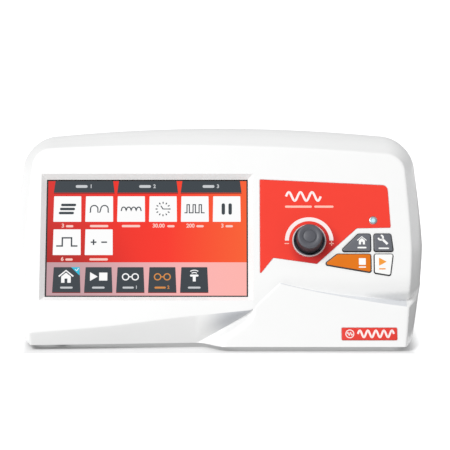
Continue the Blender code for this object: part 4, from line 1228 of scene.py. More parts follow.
def front_shell(lines):
    """The front shell: the face, its rounded rim and the side up to the parting line."""
    shape = bmesh.new()
    grid = face_grid()
    rows = [[shape.verts.new(point) for point in column] for column in grid]
    for column, left, right in zip(COLUMNS, rows, rows[1:]):
        for i in range(len(left) - 1):
            face = shape.faces.new((left[i], right[i], right[i + 1], left[i + 1]))
            face.material_index = face_material(column, i)
    side = front_side(lines)
    bends = []
    for start, line, after in zip(rim_of(grid), lines, side[0]):
        end = line[0] + (after - line[0]).normalized() * RIM_RADIUS * MM
        bends.append(bend(start, line[0], end, FILLET_STEPS))
    rings = [[shape.verts.new(point) for point in ring] for ring in [*zip(*bends), *side]]
    skin_mesh(shape, [rim_of(rows), *rings])
    obj = shell("front_shell_fine", shape, [WHITE, SATIN_PAINTED_SHADE, WEDGE_PAINTED_SHADE], "front_shell")
    rib = bmesh.new()
    prism(rib, centred(DISPLAY_CENTRE, WINDOW_RIB_SIZE), WINDOW_RIB_BACK, WINDOW_RIB_FRONT)
    boolean(obj, [solid_object("window_rib", rib, FACE)], "UNION")
    boolean(obj, face_cutters(), "DIFFERENCE")
    finish_shell(obj)


def face_cutters():
    """What is cut out of the face: the window, the pockets and the holes of knob, indicator and keys."""
    recesses = bmesh.new()
    slope = [(wide - narrow) / -WINDOW_RIB_BACK for wide, narrow in zip(WINDOW_SIZE, PICTURE_SIZE)]
    inner = [size - grow for size, grow in zip(PICTURE_SIZE, slope)]
    outer = [size + grow for size, grow in zip(WINDOW_SIZE, slope)]
    levels = ((centred(DISPLAY_CENTRE, inner), WINDOW_RIB_BACK - 1), (centred(DISPLAY_CENTRE, outer), 1.0))
    lofted(recesses, levels)
    pocket = [(x, y) for x, y, _ in LABEL_CORNERS]
    bends = [radius for _, _, radius in LABEL_CORNERS]
    levels = []
    for height, growth in POCKET_LEVELS:
        outline = grown(pocket, POCKET_GAP + growth)
        levels.append((rounded([(x, y, r + POCKET_GAP) for (x, y), r in zip(outline, bends)]), height))
    lofted(recesses, levels)
    stepped(recesses, badge_corners(), POCKET_LEVELS, BADGE_RADIUS + POCKET_GAP, POCKET_GAP)
    for corners in KEYS.values():
        stepped(recesses, corners, KEY_HOLE_LEVELS, KEY_CORNER_RADIUS + KEY_CLEARANCE, KEY_CLEARANCE)
    holes = bmesh.new()
    prism(holes, circle(KNOB_CENTRE, WELL_HOLE_RADIUS, 96), *HOLE_DEPTHS)
    prism(holes, circle(INDICATOR_CENTRE, INDICATOR_HOLE_RADIUS, 48), *HOLE_DEPTHS)
    return [solid_object("recesses", recesses, FACE), solid_object("holes", holes, FACE)]


def badge_corners():
    """The badge's corners, clockwise."""
    return block(BADGE_LOW, BADGE_HIGH)


def finish_shell(obj):
    """Smooth shading that keeps flat areas flat beside small roundings."""
    shade(obj, SHELL_SMOOTH_ANGLE)
    weighted = obj.modifiers.new("even_shading", "WEIGHTED_NORMAL")
    weighted.keep_sharp = True
    apply_modifiers(obj)


def rear_shell(lines):
    """The rear shell, with the rear panel's opening and the vents in its back wall."""
    shape = bmesh.new()
    rows = [[shape.verts.new(point) for point in ring] for ring in rear_side(lines)]
    skin_mesh(shape, rows)
    shape.faces.new(rows[-1])
    obj = shell("rear_shell_fine", shape, WHITE, "rear_shell")
    cutter = bmesh.new()
    corners = block(PANEL_OPENING_LOW, PANEL_OPENING_HIGH)
    opening = rounded(corners, PANEL_OPENING_RADIUS)
    flared_opening = rounded(grown(corners, 1.0), PANEL_OPENING_RADIUS + 1.0)
    lofted(cutter, ((opening, 74.0), (opening, BACK_Y - 0.5), (flared_opening, BACK_Y + 0.5)))
    vents = bmesh.new()
    for i in range(VENT_COUNT):
        x = (i - (VENT_COUNT - 1) / 2) * VENT_PITCH
        prism(vents, rounded(centred((x, -VENT_HEIGHT), VENT_SIZE), VENT_RADIUS), *VENT_DEPTHS)
    tools = [solid_object("panel_opening", cutter, BACK), solid_object("vents", vents, BACK)]
    boolean(obj, tools, "DIFFERENCE")
    finish_shell(obj)


side_lines = skin_lines()
front_shell(side_lines)
rear_shell(side_lines)

# ---------------------------------------------------------------- flat prints and the picture


def layer(level):
    """Heights of the picture's layers, each a hair in front of the one before."""
    return GLASS_FRONT + 0.05 + 0.03 * level


# Bottom and top of the picture's tiles, of the marks on them and of marks on those
TILE = (layer(-1), layer(1))
MARK = (layer(0), layer(2))
TOP_MARK = (layer(1), layer(3))


def stroke(shape, points, width, low, high):
    """A line of even width through points."""
    points = [Vector(point) for point in points]
    strips = []
    for i, point in enumerate(points):
        along = (points[min(i + 1, len(points) - 1)] - points[max(i - 1, 0)]).normalized()
        side = Vector((-along.y, along.x)) * width / 2
        ring = ((point + side, low), (point + side, high), (point - side, high), (point - side, low))
        strips.append([shape.verts.new(Vector((*spot, z)) * MM) for spot, z in ring])
    close_rings(shape, strips)


def arc(centre, radius, start, stop, steps=24):
    """Points of an arc between two angles in degrees."""
    turns = [math.radians(start + (stop - start) * i / steps) for i in range(steps + 1)]
    return [(centre[0] + radius * math.cos(turn), centre[1] + radius * math.sin(turn)) for turn in turns]


def digits(shape, text, centre, size, low, high):
    """Generic numerals."""
    curve = bpy.data.curves.new("digits", "FONT")
    curve.body = text
    curve.size = size * MM
    curve.align_x = "CENTER"
    curve.align_y = "CENTER"
    curve.extrude = (high - low) / 2 * MM
    curve.offset = size * 0.03 * MM
    curve.resolution_u = 4
    add_curve(shape, curve, (*centre, (low + high) / 2))


def dash(shape, centre, size, low, high):
    """A bar with rounded ends, which stands for a word."""
    prism(shape, rounded(centred(centre, size), min(size) * 0.48, 4), low, high)


def house(shape, centre, size, low, high):
    """A house: its walls with a doorway, and a roof line above."""
    x, y = centre
    wall = [(-0.33, -0.42), (-0.33, 0.02), (0, 0.3), (0.33, 0.02), (0.33, -0.42), (0.1, -0.42), (0.1, -0.12)]
    wall += [(-0.1, -0.12), (-0.1, -0.42)]
    prism(shape, [(x + u * size, y + v * size) for u, v in wall], low, high)
    roof = [(x - size * 0.5, y + size * 0.03), (x, y + size * 0.45), (x + size * 0.5, y + size * 0.03)]
    stroke(shape, roof, size * 0.1, low, high)


def wave(shape, start, hump, count, width, low, high):
    """Half waves side by side."""
    points = []
    for i in range(count * 12 + 1):
        x = i / 12 * hump[0]
        points.append((start[0] + x, start[1] + hump[1] * math.sin(math.pi * i / 12)))
    stroke(shape, points, width, low, high)


class Picture:
    """The lit picture's flat marks, gathered by material."""

    def __init__(self):
        self.shapes = {}

    def ink(self, material):
        return self.shapes.setdefault(material.name, (material, bmesh.new()))[1]

    def add_pieces(self):
        for name, (material, shape) in self.shapes.items():
            add_piece(name, shape, material, slot="display", matrix=FACE)


def tile_box(column, row):
    """Left, bottom, right and top of a tile of the picture."""
    left = TILE_LEFT + column * TILE_PITCH
    bottom = TILE_ROWS[row]
    return left, bottom, left + TILE_SIZE[0], bottom + TILE_SIZE[1]


def flared(left, bottom, right, top, flare):
    """A rounded tile, a little wider at its foot."""
    corners = [(left - flare, bottom), (left, top), (right, top), (right + flare, bottom)]
    return rounded(corners, 0.4, 3)


def picture_tabs(picture):
    for i in range(3):
        left = TAB_LEFT + i * TAB_PITCH
        right = left + TAB_WIDTH
        prism(picture.ink(SLATE), flared(left, TAB_BOTTOM, right, FIELD_HIGH[1], TAB_FLARE), *TILE)
        line = [(left - TAB_FLARE, TAB_BOTTOM - 0.5), (right + TAB_FLARE, TAB_BOTTOM - 0.5)]
        stroke(picture.ink(PICTURE_LINE), line, 0.5, *TILE)
        middle = (left + TAB_WIDTH / 2, TAB_BOTTOM + 5.0)
        caption = picture.ink(PICTURE_GREY)
        dash(caption, (middle[0] - 2.0, middle[1]), (9.0, 2.2), *MARK)
        digits(caption, str(i + 1), (middle[0] + 5.2, middle[1]), 4.0, *MARK)


def picture_tiles(picture):
    icons = {
        (0, 0): bars_icon,
        (1, 0): humps_icon,
        (2, 0): train_icon,
        (3, 0): clock_icon,
        (4, 0): pulses_icon,
        (5, 0): pause_icon,
        (0, 1): square_pulse_icon,
        (1, 1): polarity_icon,
    }
    captions = {(0, 0): "3", (3, 0): "30.00", (4, 0): "200", (5, 0): "3", (0, 1): "6"}
    for place, icon in icons.items():
        left, bottom, right, top = tile_box(*place)
        prism(picture.ink(PICTURE_WHITE), flared(left, bottom, right, top, 0.3), *TILE)
        middle = ((left + right) / 2, (bottom + top) / 2)
        icon(picture.ink(PICTURE_INK), middle)
        under = (middle[0], bottom - CAPTION_DROP)
        text = picture.ink(PICTURE_TEXT)
        if place in captions:
            width = len(captions[place]) * 2.1
            digits(text, captions[place], (under[0] - 3.3, under[1]), 4.2, *TILE)
            dash(text, (under[0] + width / 2 + 0.8, under[1] - 0.3), (5.6, 1.7), *TILE)
        else:
            dash(text, (under[0], under[1] - 0.2), (14.0, 1.8), *TILE)


def bars_icon(shape, middle):
    for i in range(3):
        dash(shape, (middle[0] + (1 - i) * 0.8, middle[1] + 3.2 - i * 3.2), (11.5, 2.0), *MARK)


def humps_icon(shape, middle):
    x, y = middle
    points = [(x - 7.4, y - 2.6), (x - 6.7, y - 2.6)]
    points += [*arc((x - 3.9, y), 2.8, 180, 0, 14), (x - 3.9 + 2.8, y - 2.6), (x - 3.9 + 4.3, y - 2.6)]
    points += [*arc((x + 3.9, y), 2.8, 180, 0, 14), (x + 3.9 + 2.8, y - 2.6), (x + 7.4, y - 2.6)]
    stroke(shape, points, 0.9, *MARK)


def train_icon(shape, middle):
    x, y = middle
    points = [(x - 7.6, y - 1.6)]
    for i in range(4):
        start = x - 7.6 + i * 3.8
        points += arc((start + 1.9, y), 1.5, 180, 0, 10)
        points.append((start + 3.8, y - 1.6))
    stroke(shape, points, 0.9, *MARK)


def clock_icon(shape, middle):
    for i in range(12):
        turn = math.radians(30 * i)
        way = Vector((math.cos(turn), math.sin(turn)))
        stroke(shape, [Vector(middle) + way * 4.2, Vector(middle) + way * 5.7], 0.85, *MARK)
    stroke(shape, [(middle[0] - 1.7, middle[1] + 2.6), middle], 0.8, *MARK)
    stroke(shape, [(middle[0] - 0.3, middle[1]), (middle[0] + 4.4, middle[1])], 0.7, *MARK)


def pulses_icon(shape, middle):
    x, y = middle
    points = [(x - 7.5, y - 3)]
    for i in range(3):
        start = x - 6.0 + i * 4.6
        points += [(start, y - 3), (start, y + 3.4), (start + 1.8, y + 3.4), (start + 1.8, y - 3)]
    points.append((x + 7.0, y - 3))
    stroke_square(shape, points, 0.8)


def stroke_square(shape, points, width):
    """A stroke with square corners, one bar per stretch."""
    for a, b in zip(points, points[1:]):
        a, b = Vector(a), Vector(b)
        reach = (b - a).normalized() * width / 2
        stroke(shape, [a - reach, b + reach], width, *MARK)


def pause_icon(shape, middle):
    for side in (-1, 1):
        dash(shape, (middle[0] + side * 2.6, middle[1]), (2.6, 9.0), *MARK)


def square_pulse_icon(shape, middle):
    x, y = middle
    points = [(x - 7.5, y - 3), (x - 3.5, y - 3), (x - 3.5, y + 3.4)]
    points += [(x + 3.5, y + 3.4), (x + 3.5, y - 3), (x + 7.5, y - 3)]
    stroke_square(shape, points, 1.1)


def polarity_icon(shape, middle):
    x, y = middle
    for centre in (x - 4, x + 4):
        stroke(shape, [(centre - 2.2, y), (centre + 2.2, y)], 1.1, *MARK)
    stroke(shape, [(x - 4, y - 2.2), (x - 4, y + 2.2)], 1.1, *MARK)


def picture_band(picture):
    """The pale band at the picture's foot with its buttons."""
    prism(picture.ink(PICTURE_BAND), block(FIELD_LOW, (FIELD_HIGH[0], BAND_TOP)), TILE[0], MARK[0])
    marks = (home_mark, start_mark, electrode_mark, electrode_mark, probe_mark)
    inks = (PICTURE_WHITE, PICTURE_WHITE, PICTURE_WHITE, PICTURE_ORANGE, PICTURE_WHITE)
    for i, (mark, ink) in enumerate(zip(marks, inks)):
        start = BUTTON_LEFT + i * BUTTON_PITCH
        outline = flared(start, BUTTON_BOTTOM, start + BUTTON_WIDTH, BUTTON_TOP, BUTTON_FLARE)
        prism(picture.ink(SLATE), outline, *TILE)
        foot = BUTTON_BOTTOM - 0.3
        base = [(start - BUTTON_FLARE, foot), (start + BUTTON_WIDTH + BUTTON_FLARE, foot)]
        stroke(picture.ink(PICTURE_LINE), base, 0.6, *TILE)
        middle = (start + BUTTON_WIDTH / 2, (BUTTON_BOTTOM + BUTTON_TOP) / 2)
        mark(picture.ink(ink), middle)
        caption = picture.ink(PICTURE_ORANGE if ink == PICTURE_ORANGE else PICTURE_GREY)
        if mark == electrode_mark:
            dash(caption, (middle[0] - 1.6, middle[1] - 6.2), (8.5, 1.5), *MARK)
            digits(caption, str(i - 1), (middle[0] + 4.6, middle[1] - 6.0), 3.4, *MARK)
        else:
            dash(caption, (middle[0], middle[1] - 6.2), (9.5, 1.5), *MARK)
    x, y = BUTTON_LEFT + BUTTON_WIDTH, BUTTON_TOP
    flag = [(x, y), (x, y - 6.5), (x - 6.5, y)]
    prism(picture.ink(PICTURE_CYAN), flag, *MARK)
    tick = [(x - 3.4, y - 1.7), (x - 2.3, y - 2.8), (x - 0.8, y - 0.8)]
    stroke(picture.ink(PICTURE_WHITE), tick, 0.6, *TOP_MARK)


def home_mark(shape, middle):
    house(shape, (middle[0] - 0.4, middle[1] + 2.2), 11.0, *MARK)


def start_mark(shape, middle):
    x, y = middle
    y += 2.4
    prism(shape, [(x - 6.4, y - 3.4), (x - 6.4, y + 3.4), (x - 0.6, y)], *MARK)
    prism(shape, centred((x + 3.6, y), (6.2, 6.2)), *MARK)


def electrode_mark(shape, middle):
    x, y = middle
    y += 2.2
    for side in (-1, 1):
        stroke(shape, arc((x + side * 3.6, y), 2.4, 0, 360, 20), 0.9, *MARK)
    stroke(shape, [(x - 1.2, y), (x + 1.2, y)], 0.9, *MARK)


def probe_mark(shape, middle):
    x, y = middle
    y += 1.6
    prism(shape, block((x - 1.1, y - 3.0), (x + 1.1, y + 1.6)), *MARK)
    dash(shape, (x, y + 1.6), (6.4, 1.6), *MARK)
    for radius in (3.4, 5.2):
        stroke(shape, arc((x, y + 0.6), radius, 55, 125, 10), 0.7, *MARK)


def display():
    """The touch panel, the lit picture behind it and the gasket round it."""
    panel = bmesh.new()
    outline = centred(DISPLAY_CENTRE, TOUCH_PANEL_SIZE)
    front = centred(DISPLAY_CENTRE, [size - 0.4 for size in TOUCH_PANEL_SIZE])
    lofted(panel, ((outline, GLASS_BACK), (outline, GLASS_FRONT - 0.2), (front, GLASS_FRONT)))
    touch = add_piece("touch_panel_fine", panel, DARK_GLASS, slot="touch_glass", matrix=FACE)
    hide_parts("touch_panel")
    field = bmesh.new()
    prism(field, block(FIELD_LOW, FIELD_HIGH), GLASS_FRONT - 0.1, GLASS_FRONT + 0.02)
    add_piece("picture_field", field, PICTURE_RED, slot="display", matrix=FACE)
    gasket = bmesh.new()
    outlines = [centred(DISPLAY_CENTRE, size) for size in (GASKET_SIZE, GASKET_OPENING)]
    plate_with_holes(gasket, outlines, *GASKET_DEPTHS)
    fine_gasket = add_piece("window_gasket_fine", gasket, RUBBER, slot="rubber", matrix=FACE)
    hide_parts("window_gasket")
    picture = Picture()
    picture_tabs(picture)
    picture_tiles(picture)
    picture_band(picture)
    picture.add_pieces()


# ---------------------------------------------------------------- controls


def label():
    """The control label and its prints."""
    film = bmesh.new()
    holes = [circle(KNOB_CENTRE, LABEL_HOLE, 96), circle(INDICATOR_CENTRE, INDICATOR_LABEL_HOLE, 48)]
    plate_with_holes(film, [rounded(LABEL_CORNERS), *holes], -POCKET_DEPTH + 0.05, LABEL_TOP)
    piece = add_piece("control_label_fine", film, RED_FILM, slot="red_label", matrix=FACE)
    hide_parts("control_label")
    low, high = LABEL_TOP - SUNK, LABEL_TOP + PRINT
    white = bmesh.new()
    x, y = KNOB_CENTRE
    outer = arc((x, y), SCALE_RADIUS + SCALE_WIDTH / 2, 0, 180, 48)
    prism(white, outer + arc((x, y), SCALE_RADIUS - SCALE_WIDTH / 2, 180, 0, 48), low, high)
    wave(white, (TITLE_LEFT, TITLE_HEIGHT), (4.4, 3.4), 6, 1.7, low, high)
    add_piece("label_print", white, INK_WHITE, slot="red_label", matrix=FACE)
    pink = bmesh.new()
    for side in (-1, 1):
        centre = (x + side * SIGN_DISTANCE, y - 2.3)
        stroke(pink, [(centre[0] - 1.7, centre[1]), (centre[0] + 1.7, centre[1])], 0.7, low, high)
        if side > 0:
            stroke(pink, [(centre[0], centre[1] - 1.7), (centre[0], centre[1] + 1.7)], 0.7, low, high)
    run = TITLE_LEFT - 0.8
    for length in (20.4, 14.6):
        dash(pink, (run + length / 2, SUBTITLE_HEIGHT), (length, 1.7), low, high)
        run += length + 1.8
    add_piece("label_small_print", pink, INK_PINK, slot="red_label", matrix=FACE)


def knob():
    """The knob, and the raised ring of the well round it."""
    knob_profile = (
        (0, 12.9), (3.9, 12.9), (4.5, 12.7), (4.75, 12.35), (5.0, 12.35), (5.4, 12.75), (6.0, 13.0),
        (7.6, 13.2), (8.4, 13.15), (9.0, 12.8), (9.4, 12.2), (9.6, 11.2), (9.75, 6), (9.85, 1.5),
        (9.9, -3.2), (8.2, -3.2), (8.2, 10.0), (5.2, 10.0), (5.2, -0.4), (3.1, -0.4), (3.1, 9.8), (0, 9.8),
    )
    shape = bmesh.new()
    turned(shape, knob_profile, KNOB_CENTRE, KNOB_SIDES, knob_material)
    piece = add_piece("knob_fine", shape, [KNOB_GREY, KNOB_SIDE], "dark_grey_plastic", FACE, "knob")
    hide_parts("knob")
    well_profile = (
        (11.85, 1.0), (12.2, 0.95), (12.55, 0.75), (12.65, 0.4), (12.65, -0.2), (11.9, -0.2), (11.9, -5.2),
        (3.8, -5.2), (3.8, -4.0), (10.2, -4.0), (10.6, -3.6), (10.9, -1.0), (11.3, 0.4), (11.6, 0.85),
    )
    shape = bmesh.new()
    turned(shape, well_profile, KNOB_CENTRE, KNOB_SIDES, well_material)
    piece = add_piece("knob_well_fine", shape, [WELL_GREY, WELL_BEAD_PINK_REFLECTION], slot="dark_grey_plastic", matrix=FACE)
    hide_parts("knob_well")


def knob_material(first, second):
    """Material of the knob's face between two (radius, height) points: 0 its cap's, 1 its side's."""
    return 1 if min(first[1], second[1]) < 12.0 and first[0] > 9 else 0


def well_material(first, second):
    """Material of the well's face between two (radius, height) points: 0 its inside's, 1 its bead's, pale
    with a painted pink reflection of the red label.
    """
    return 1 if min(first[1], second[1]) > 0.3 and min(first[0], second[0]) > 12.1 else 0


def keys():
    """The four keys, each with a dark skirt and flange, a cap and a mark."""
    caps = {"home": KEY_GREY, "settings": KEY_GREY, "stop": KEY_ORANGE, "start": WHITE_KEY}
    slots = {"home": "grey_key", "settings": "grey_key", "stop": "orange_key", "start": "white_key"}
    for name, corners in KEYS.items():
        place = (slots[name], FACE, f"{name}_key")
        shape = bmesh.new()
        stepped(shape, corners, KEY_SKIRT_LEVELS, KEY_CORNER_RADIUS, follow=1.0)
        skirt = add_piece(f"key_{name}_skirt", shape, KEY_DARK, *place)
        flange = bmesh.new()
        prism(flange, rounded(grown(corners, KEY_FLANGE), KEY_CORNER_RADIUS), *KEY_FLANGE_DEPTHS)
        add_piece(f"key_{name}_flange", flange, KEY_DARK, *place)
        cap = bmesh.new()
        stepped(cap, corners, KEY_CAP_LEVELS, KEY_CORNER_RADIUS - KEY_BORDER, -KEY_BORDER, 0.5)
        add_piece(f"key_{name}_cap", cap, caps[name], *place)
        mark = bmesh.new()
        KEY_MARKS[name](mark, key_centre(corners), *KEY_MARK_HEIGHTS)
        add_piece(f"key_{name}_mark", mark, INK_ORANGE if name == "start" else WHITE_KEY, *place)
        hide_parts(f"key_{name}")


def key_centre(corners):
    """The middle of the rectangle round a key's corners."""
    low = [min(corner[i] for corner in corners) for i in range(2)]
    high = [max(corner[i] for corner in corners) for i in range(2)]
    return ((low[0] + high[0]) / 2, (low[1] + high[1]) / 2)


def home_key_mark(shape, middle, low, high):
    house(shape, (middle[0] + 5.0, middle[1] + 1.4), 7.0, low, high)
    dash(shape, (middle[0] + 5.0, middle[1] - 4.0), (6.8, 1.2), low, high)


def settings_key_mark(shape, middle, low, high):
    x, y = middle[0] - 0.3, middle[1] + 2.0
    stroke(shape, [(x + 3.2, y - 3.3), (x - 0.9, y + 0.8)], 1.8, low, high)
    stroke(shape, arc((x - 1.9, y + 1.8), 1.8, -175, 85, 16), 1.3, low, high)
    dash(shape, (middle[0], middle[1] - 4.6), (8.0, 1.1), low, high)


def stop_key_mark(shape, middle, low, high):
    centre = (middle[0] + 11.3, middle[1] + 1.2)
    prism(shape, rounded(centred(centre, (5.2, 5.2)), 0.4, 3), low, high)
    dash(shape, (centre[0], centre[1] - 4.3), (5.4, 1.0), low, high)


def start_key_mark(shape, middle, low, high):
    x, y = middle[0] - 1.1, middle[1] + 2.3
    prism(shape, rounded([(x - 2.6, y - 3.2), (x - 2.6, y + 3.2), (x + 3.2, y)], 0.3, 3), low, high)
    dash(shape, (x - 0.2, y - 5.6), (5.0, 1.0), low, high)


KEY_MARKS = {
    "home": home_key_mark,
    "settings": settings_key_mark,
    "stop": stop_key_mark,
    "start": start_key_mark,
}


def indicator():
    """The indicator's ring and its lens."""
    ring = (
        (2.9, -0.2), (2.3, -0.2), (2.3, -3.6), (1.8, -3.6), (1.75, 0.35), (1.95, 0.5), (2.5, 0.5),
        (2.8, 0.35), (2.9, 0.1),
    )
    shape = bmesh.new()
    turned(shape, ring, INDICATOR_CENTRE, 64)
    piece = add_piece("indicator_ring_fine", shape, STEEL, slot="steel", matrix=FACE)
    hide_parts("indicator_ring")
    lens = ((0, 0.72), (0.6, 0.68), (1.1, 0.52), (1.5, 0.15), (1.5, -12.4), (0, -12.4))
    shape = bmesh.new()
    turned(shape, lens, INDICATOR_CENTRE, 64)
    piece = add_piece("indicator_lens_fine", shape, LED_CYAN, slot="lens", matrix=FACE)
    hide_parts("indicator_lens")


def badge():
    """The badge and its generic print: a ring with a wave in it, and a longer wave."""
    shape = bmesh.new()
    stepped(shape, badge_corners(), BADGE_LEVELS, BADGE_RADIUS)
    piece = add_piece("badge_fine", shape, BADGE_RED, slot="red_badge", matrix=FACE)
    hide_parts("badge")
    low, high = BADGE_TOP - SUNK, BADGE_TOP + PRINT
    print_shape = bmesh.new()
    middle = (BADGE_LOW[1] + BADGE_HIGH[1]) / 2
    ring_centre = (BADGE_LOW[0] + 6.0, middle)
    stroke(print_shape, arc(ring_centre, 3.0, 0, 360, 40), 0.7, low, high)
    wave(print_shape, (ring_centre[0] - 2.0, middle), (1.0, 1.2), 4, 0.6, low, high)
    wave(print_shape, (BADGE_LOW[0] + 12.0, middle), (3.0, 2.6), 9, 1.5, low, high)
    add_piece("badge_print", print_shape, INK_WHITE, slot="red_badge", matrix=FACE)


# ---------------------------------------------------------------- back and underside


def rear_sockets():
    """The probe's and the electrodes' sockets, with their pins."""
    back, floor, floor_rim = SOCKET_DEPTHS
    for name, (x, flange, body, cavity) in SOCKETS.items():
        profile = (
            (flange - 0.9, FLANGE_BACK), (flange - 0.3, FLANGE_BACK - 0.2), (flange, FLANGE_BACK - 0.8),
            (flange, FLANGE_FRONT), (body, FLANGE_FRONT), (body, back), (0, back), (0, floor),
            (cavity - 0.6, floor), (cavity - 0.6, floor_rim), (cavity, floor_rim),
            (cavity, FLANGE_BACK - 0.6), (cavity + 0.6, FLANGE_BACK),
            (cavity + 1.1, FLANGE_BACK), (cavity + 1.2, FLANGE_BACK - 0.3), (cavity + 1.5, FLANGE_BACK - 0.3),
            (cavity + 1.6, FLANGE_BACK),
        )
        shape = bmesh.new()
        turned(shape, profile, (x, -PANEL_HEIGHT), 96)
        piece = add_piece(f"{name}_fine", shape, BLACK, slot="black_plastic", matrix=BACK)
        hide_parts(name)
        pins = bmesh.new()
        for i in range(4):
            turn = math.pi / 4 + math.pi / 2 * i
            place = (x + cavity * 0.5 * math.cos(turn), -PANEL_HEIGHT + cavity * 0.5 * math.sin(turn))
            turned(pins, ((0, 74), (0.35, 73.9), (0.6, 73.5), (0.6, 69), (0, 69)), place, 16)
        add_piece(f"{name}_pins", pins, BRASS, slot="black_plastic", matrix=BACK)


def rocker_marks():
    """The generic line and ring on the two ends of the power rocker."""
    joint = JOINTS["power_rocker_tilt"]
    pivot = Matrix.Translation(joint["pos_m"]) @ Matrix.Rotation(-ROCKER_TILT, 4, "X") @ BACK
    height = ROCKER_MARK_HEIGHT + ROCKER_MARK_DISTANCE * math.tan(ROCKER_DISH)
    line = [(0, -1.5), (0, 1.5)]
    ring = arc((0, 0), 1.4, 0, 360, 32)
    for name, points, side in (("line", line, -1), ("ring", ring, 1)):
        middle = Matrix.Translation(Vector((0, side * ROCKER_MARK_DISTANCE, height)) * MM)
        mark = bmesh.new()
        stroke(mark, points, 0.6, -0.1, PRINT)
        matrix = pivot @ middle @ Matrix.Rotation(side * ROCKER_DISH, 4, "X")
        add_piece(f"rocker_{name}", mark, INK_WHITE, "black_plastic", matrix, joint["child"])


def feet_and_screws():
    """The four rubber feet, and the base screws with a cross recess."""
    foot = (
        (0, 3.7), (8, 3.7), (8, 1.2), (7.8, 0.5), (7.2, 0.05), (6.2, 0), (5.8, 0.3), (4.6, 0.3),
        (4.2, 0), (0, 0),
    )
    screw = (
        (0, 19), (1.0, 19), (1.5, 18), (1.5, 3.7), (3.4, 3.7), (3.4, 2.8), (3.1, 2.3), (2.4, 2.0), (0, 1.9),
    )
    for i in range(1, 5):
        shape = bmesh.new()
        turned(shape, foot, middle_of(f"foot_{i}"), 72)
        piece = add_piece(f"foot_{i}_fine", shape, RUBBER, slot="rubber")
        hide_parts(f"foot_{i}")
        place = middle_of(f"base_screw_{i}")
        shape = bmesh.new()
        turned(shape, screw, place, 48)
        piece = add_piece(f"base_screw_{i}_fine", shape, STEEL, slot="steel")
        cross = bmesh.new()
        for turn in (45, 135):
            way = Vector((math.cos(math.radians(turn)), math.sin(math.radians(turn))))
            ends = [Vector(place) - way * 1.7, Vector(place) + way * 1.7]
            stroke(cross, ends, 0.6, 1.0, 3.0)
        boolean(piece, [solid_object("recess", cross)], "DIFFERENCE")
        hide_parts(f"base_screw_{i}")


def carried_over():
    """Materials and softened edges for the nodes that stay as they are."""
    by_slot = {
        "white_casing": WHITE,
        "white_key": WHITE_KEY,
        "dark_grey_plastic": KNOB_SIDE,
        "grey_key": KEY_GREY,
        "orange_key": KEY_ORANGE,
        "black_plastic": BLACK,
        "red_label": RED_FILM,
        "red_badge": BADGE_RED,
        "display": DARK_GLASS,
        "touch_glass": DARK_GLASS,
        "lens": CLEAR,
        "rubber": RUBBER,
        "silicone": SILICONE,
        "circuit_board": BOARD_GREEN,
        "steel": STEEL,
        "panel_aluminium": ALUMINIUM,
        "copper": COPPER,
    }
    for part in frame["record"]["subparts"]:
        obj = frame["nodes"][part["node"]]
        obj.data.materials.clear()
        obj.data.materials.append(by_slot[part["material_slot"]])
        if not obj.hide_render:
            bevel = obj.modifiers.new("soft_edges", "BEVEL")
            bevel.width = SOFT_EDGE * MM
            bevel.segments = 2
            bevel.angle_limit = SOFT_EDGE_ANGLE


display()
label()
knob()
keys()
indicator()
badge()
rear_sockets()
rocker_marks()
feet_and_screws()
carried_over()

# ---------------------------------------------------------------- stage, light and camera


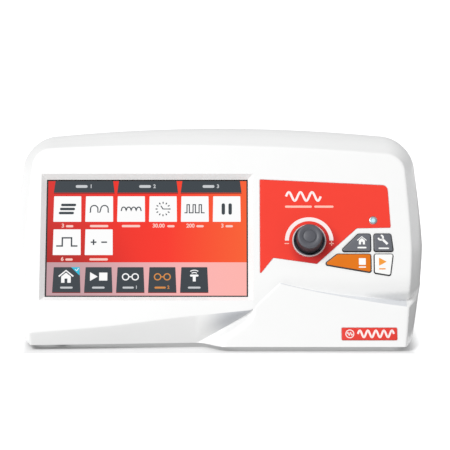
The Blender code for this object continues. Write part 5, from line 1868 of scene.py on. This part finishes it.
def floor_glow(material):
    """Makes the floor shine beyond the console, and not under it, so that only a narrow shade stays there."""
    tree = material.node_tree
    shader = tree.nodes["Principled BSDF"]
    shader.inputs["Emission Color"].default_value = (1, 1, 1, 1)
    size = add_node(tree, "ShaderNodeVectorMath", operation="ABSOLUTE")
    tree.links.new(add_node(tree, "ShaderNodeTexCoord").outputs["Object"], size.inputs[0])
    split = add_node(tree, "ShaderNodeSeparateXYZ")
    tree.links.new(size.outputs["Vector"], split.inputs["Vector"])
    furthest = add_node(tree, "ShaderNodeMath", operation="MAXIMUM")
    for i, (axis, reach) in enumerate(zip("XY", FLOOR_SHADE)):
        past = add_node(tree, "ShaderNodeMath", operation="SUBTRACT")
        tree.links.new(split.outputs[axis], past.inputs[0])
        past.inputs[1].default_value = reach
        tree.links.new(past.outputs["Value"], furthest.inputs[i])
    glow = ranged(tree, furthest.outputs["Value"], 0.0, FLOOR_FADE, 0.0, FLOOR_GLOW, "SMOOTHSTEP")
    tree.links.new(glow, shader.inputs["Emission Strength"])


def stage():
    """The floor, which takes no part in diffuse light and has no shadow of its own."""
    shape = bmesh.new()
    bmesh.ops.create_grid(shape, x_segments=4, y_segments=4, size=FLOOR_REACH)
    floor = add_object("floor", shape)
    material = surface("floor", colour(238, 238, 238), 0.9, grain=60, relief=0.0, mottle=0.004)
    floor_glow(material)
    floor.data.materials.append(material)
    floor.visible_diffuse = False
    floor.visible_shadow = False


def area_light(name, place, aim, size, power):
    """A round area light, in metres and watts."""
    light = bpy.data.lights.new(name, "AREA")
    light.shape = "DISK"
    light.size = size
    light.energy = power
    obj = bpy.data.objects.new(name, light)
    obj.location = place
    obj.rotation_euler = (Vector(aim) - Vector(place)).to_track_quat("-Z", "Y").to_euler()
    bpy.context.scene.collection.objects.link(obj)


def lights():
    """A bright studio world, and one large light from the upper left in front."""
    world = bpy.data.worlds.new("studio")
    world.use_nodes = True
    background = world.node_tree.nodes["Background"]
    background.inputs["Color"].default_value = WORLD_COLOUR
    background.inputs["Strength"].default_value = WORLD_STRENGTH
    bpy.context.scene.world = world
    area_light("key", *KEY_LIGHT)


def shade_card():
    """A dark card on the floor, seen only in the console's gloss, which darkens its right side's edge."""
    shape = bmesh.new()
    bmesh.ops.create_grid(shape, x_segments=1, y_segments=1, size=0.5)
    card = add_object("dark_card", shape)
    card.data.materials.append(surface("dark_card", colour(6, 6, 6), 0.9, shine=0.0))
    card.scale = CARD_SIZE
    card.location = CARD_PLACE
    card.visible_camera = False
    card.visible_diffuse = False
    card.visible_shadow = False


def camera():
    """The camera in front of the console, a little above it."""
    data = bpy.data.cameras.new("camera")
    data.sensor_width = 36.0
    data.lens = CAMERA_LENS
    data.clip_end = 100
    obj = bpy.data.objects.new("camera", data)
    obj.location = CAMERA_PLACE
    obj.rotation_euler = (CAMERA_PITCH, 0, 0)
    bpy.context.scene.collection.objects.link(obj)
    bpy.context.scene.camera = obj


stage()
lights()
shade_card()
camera()
bpy.context.scene.view_settings.view_transform = "Standard"
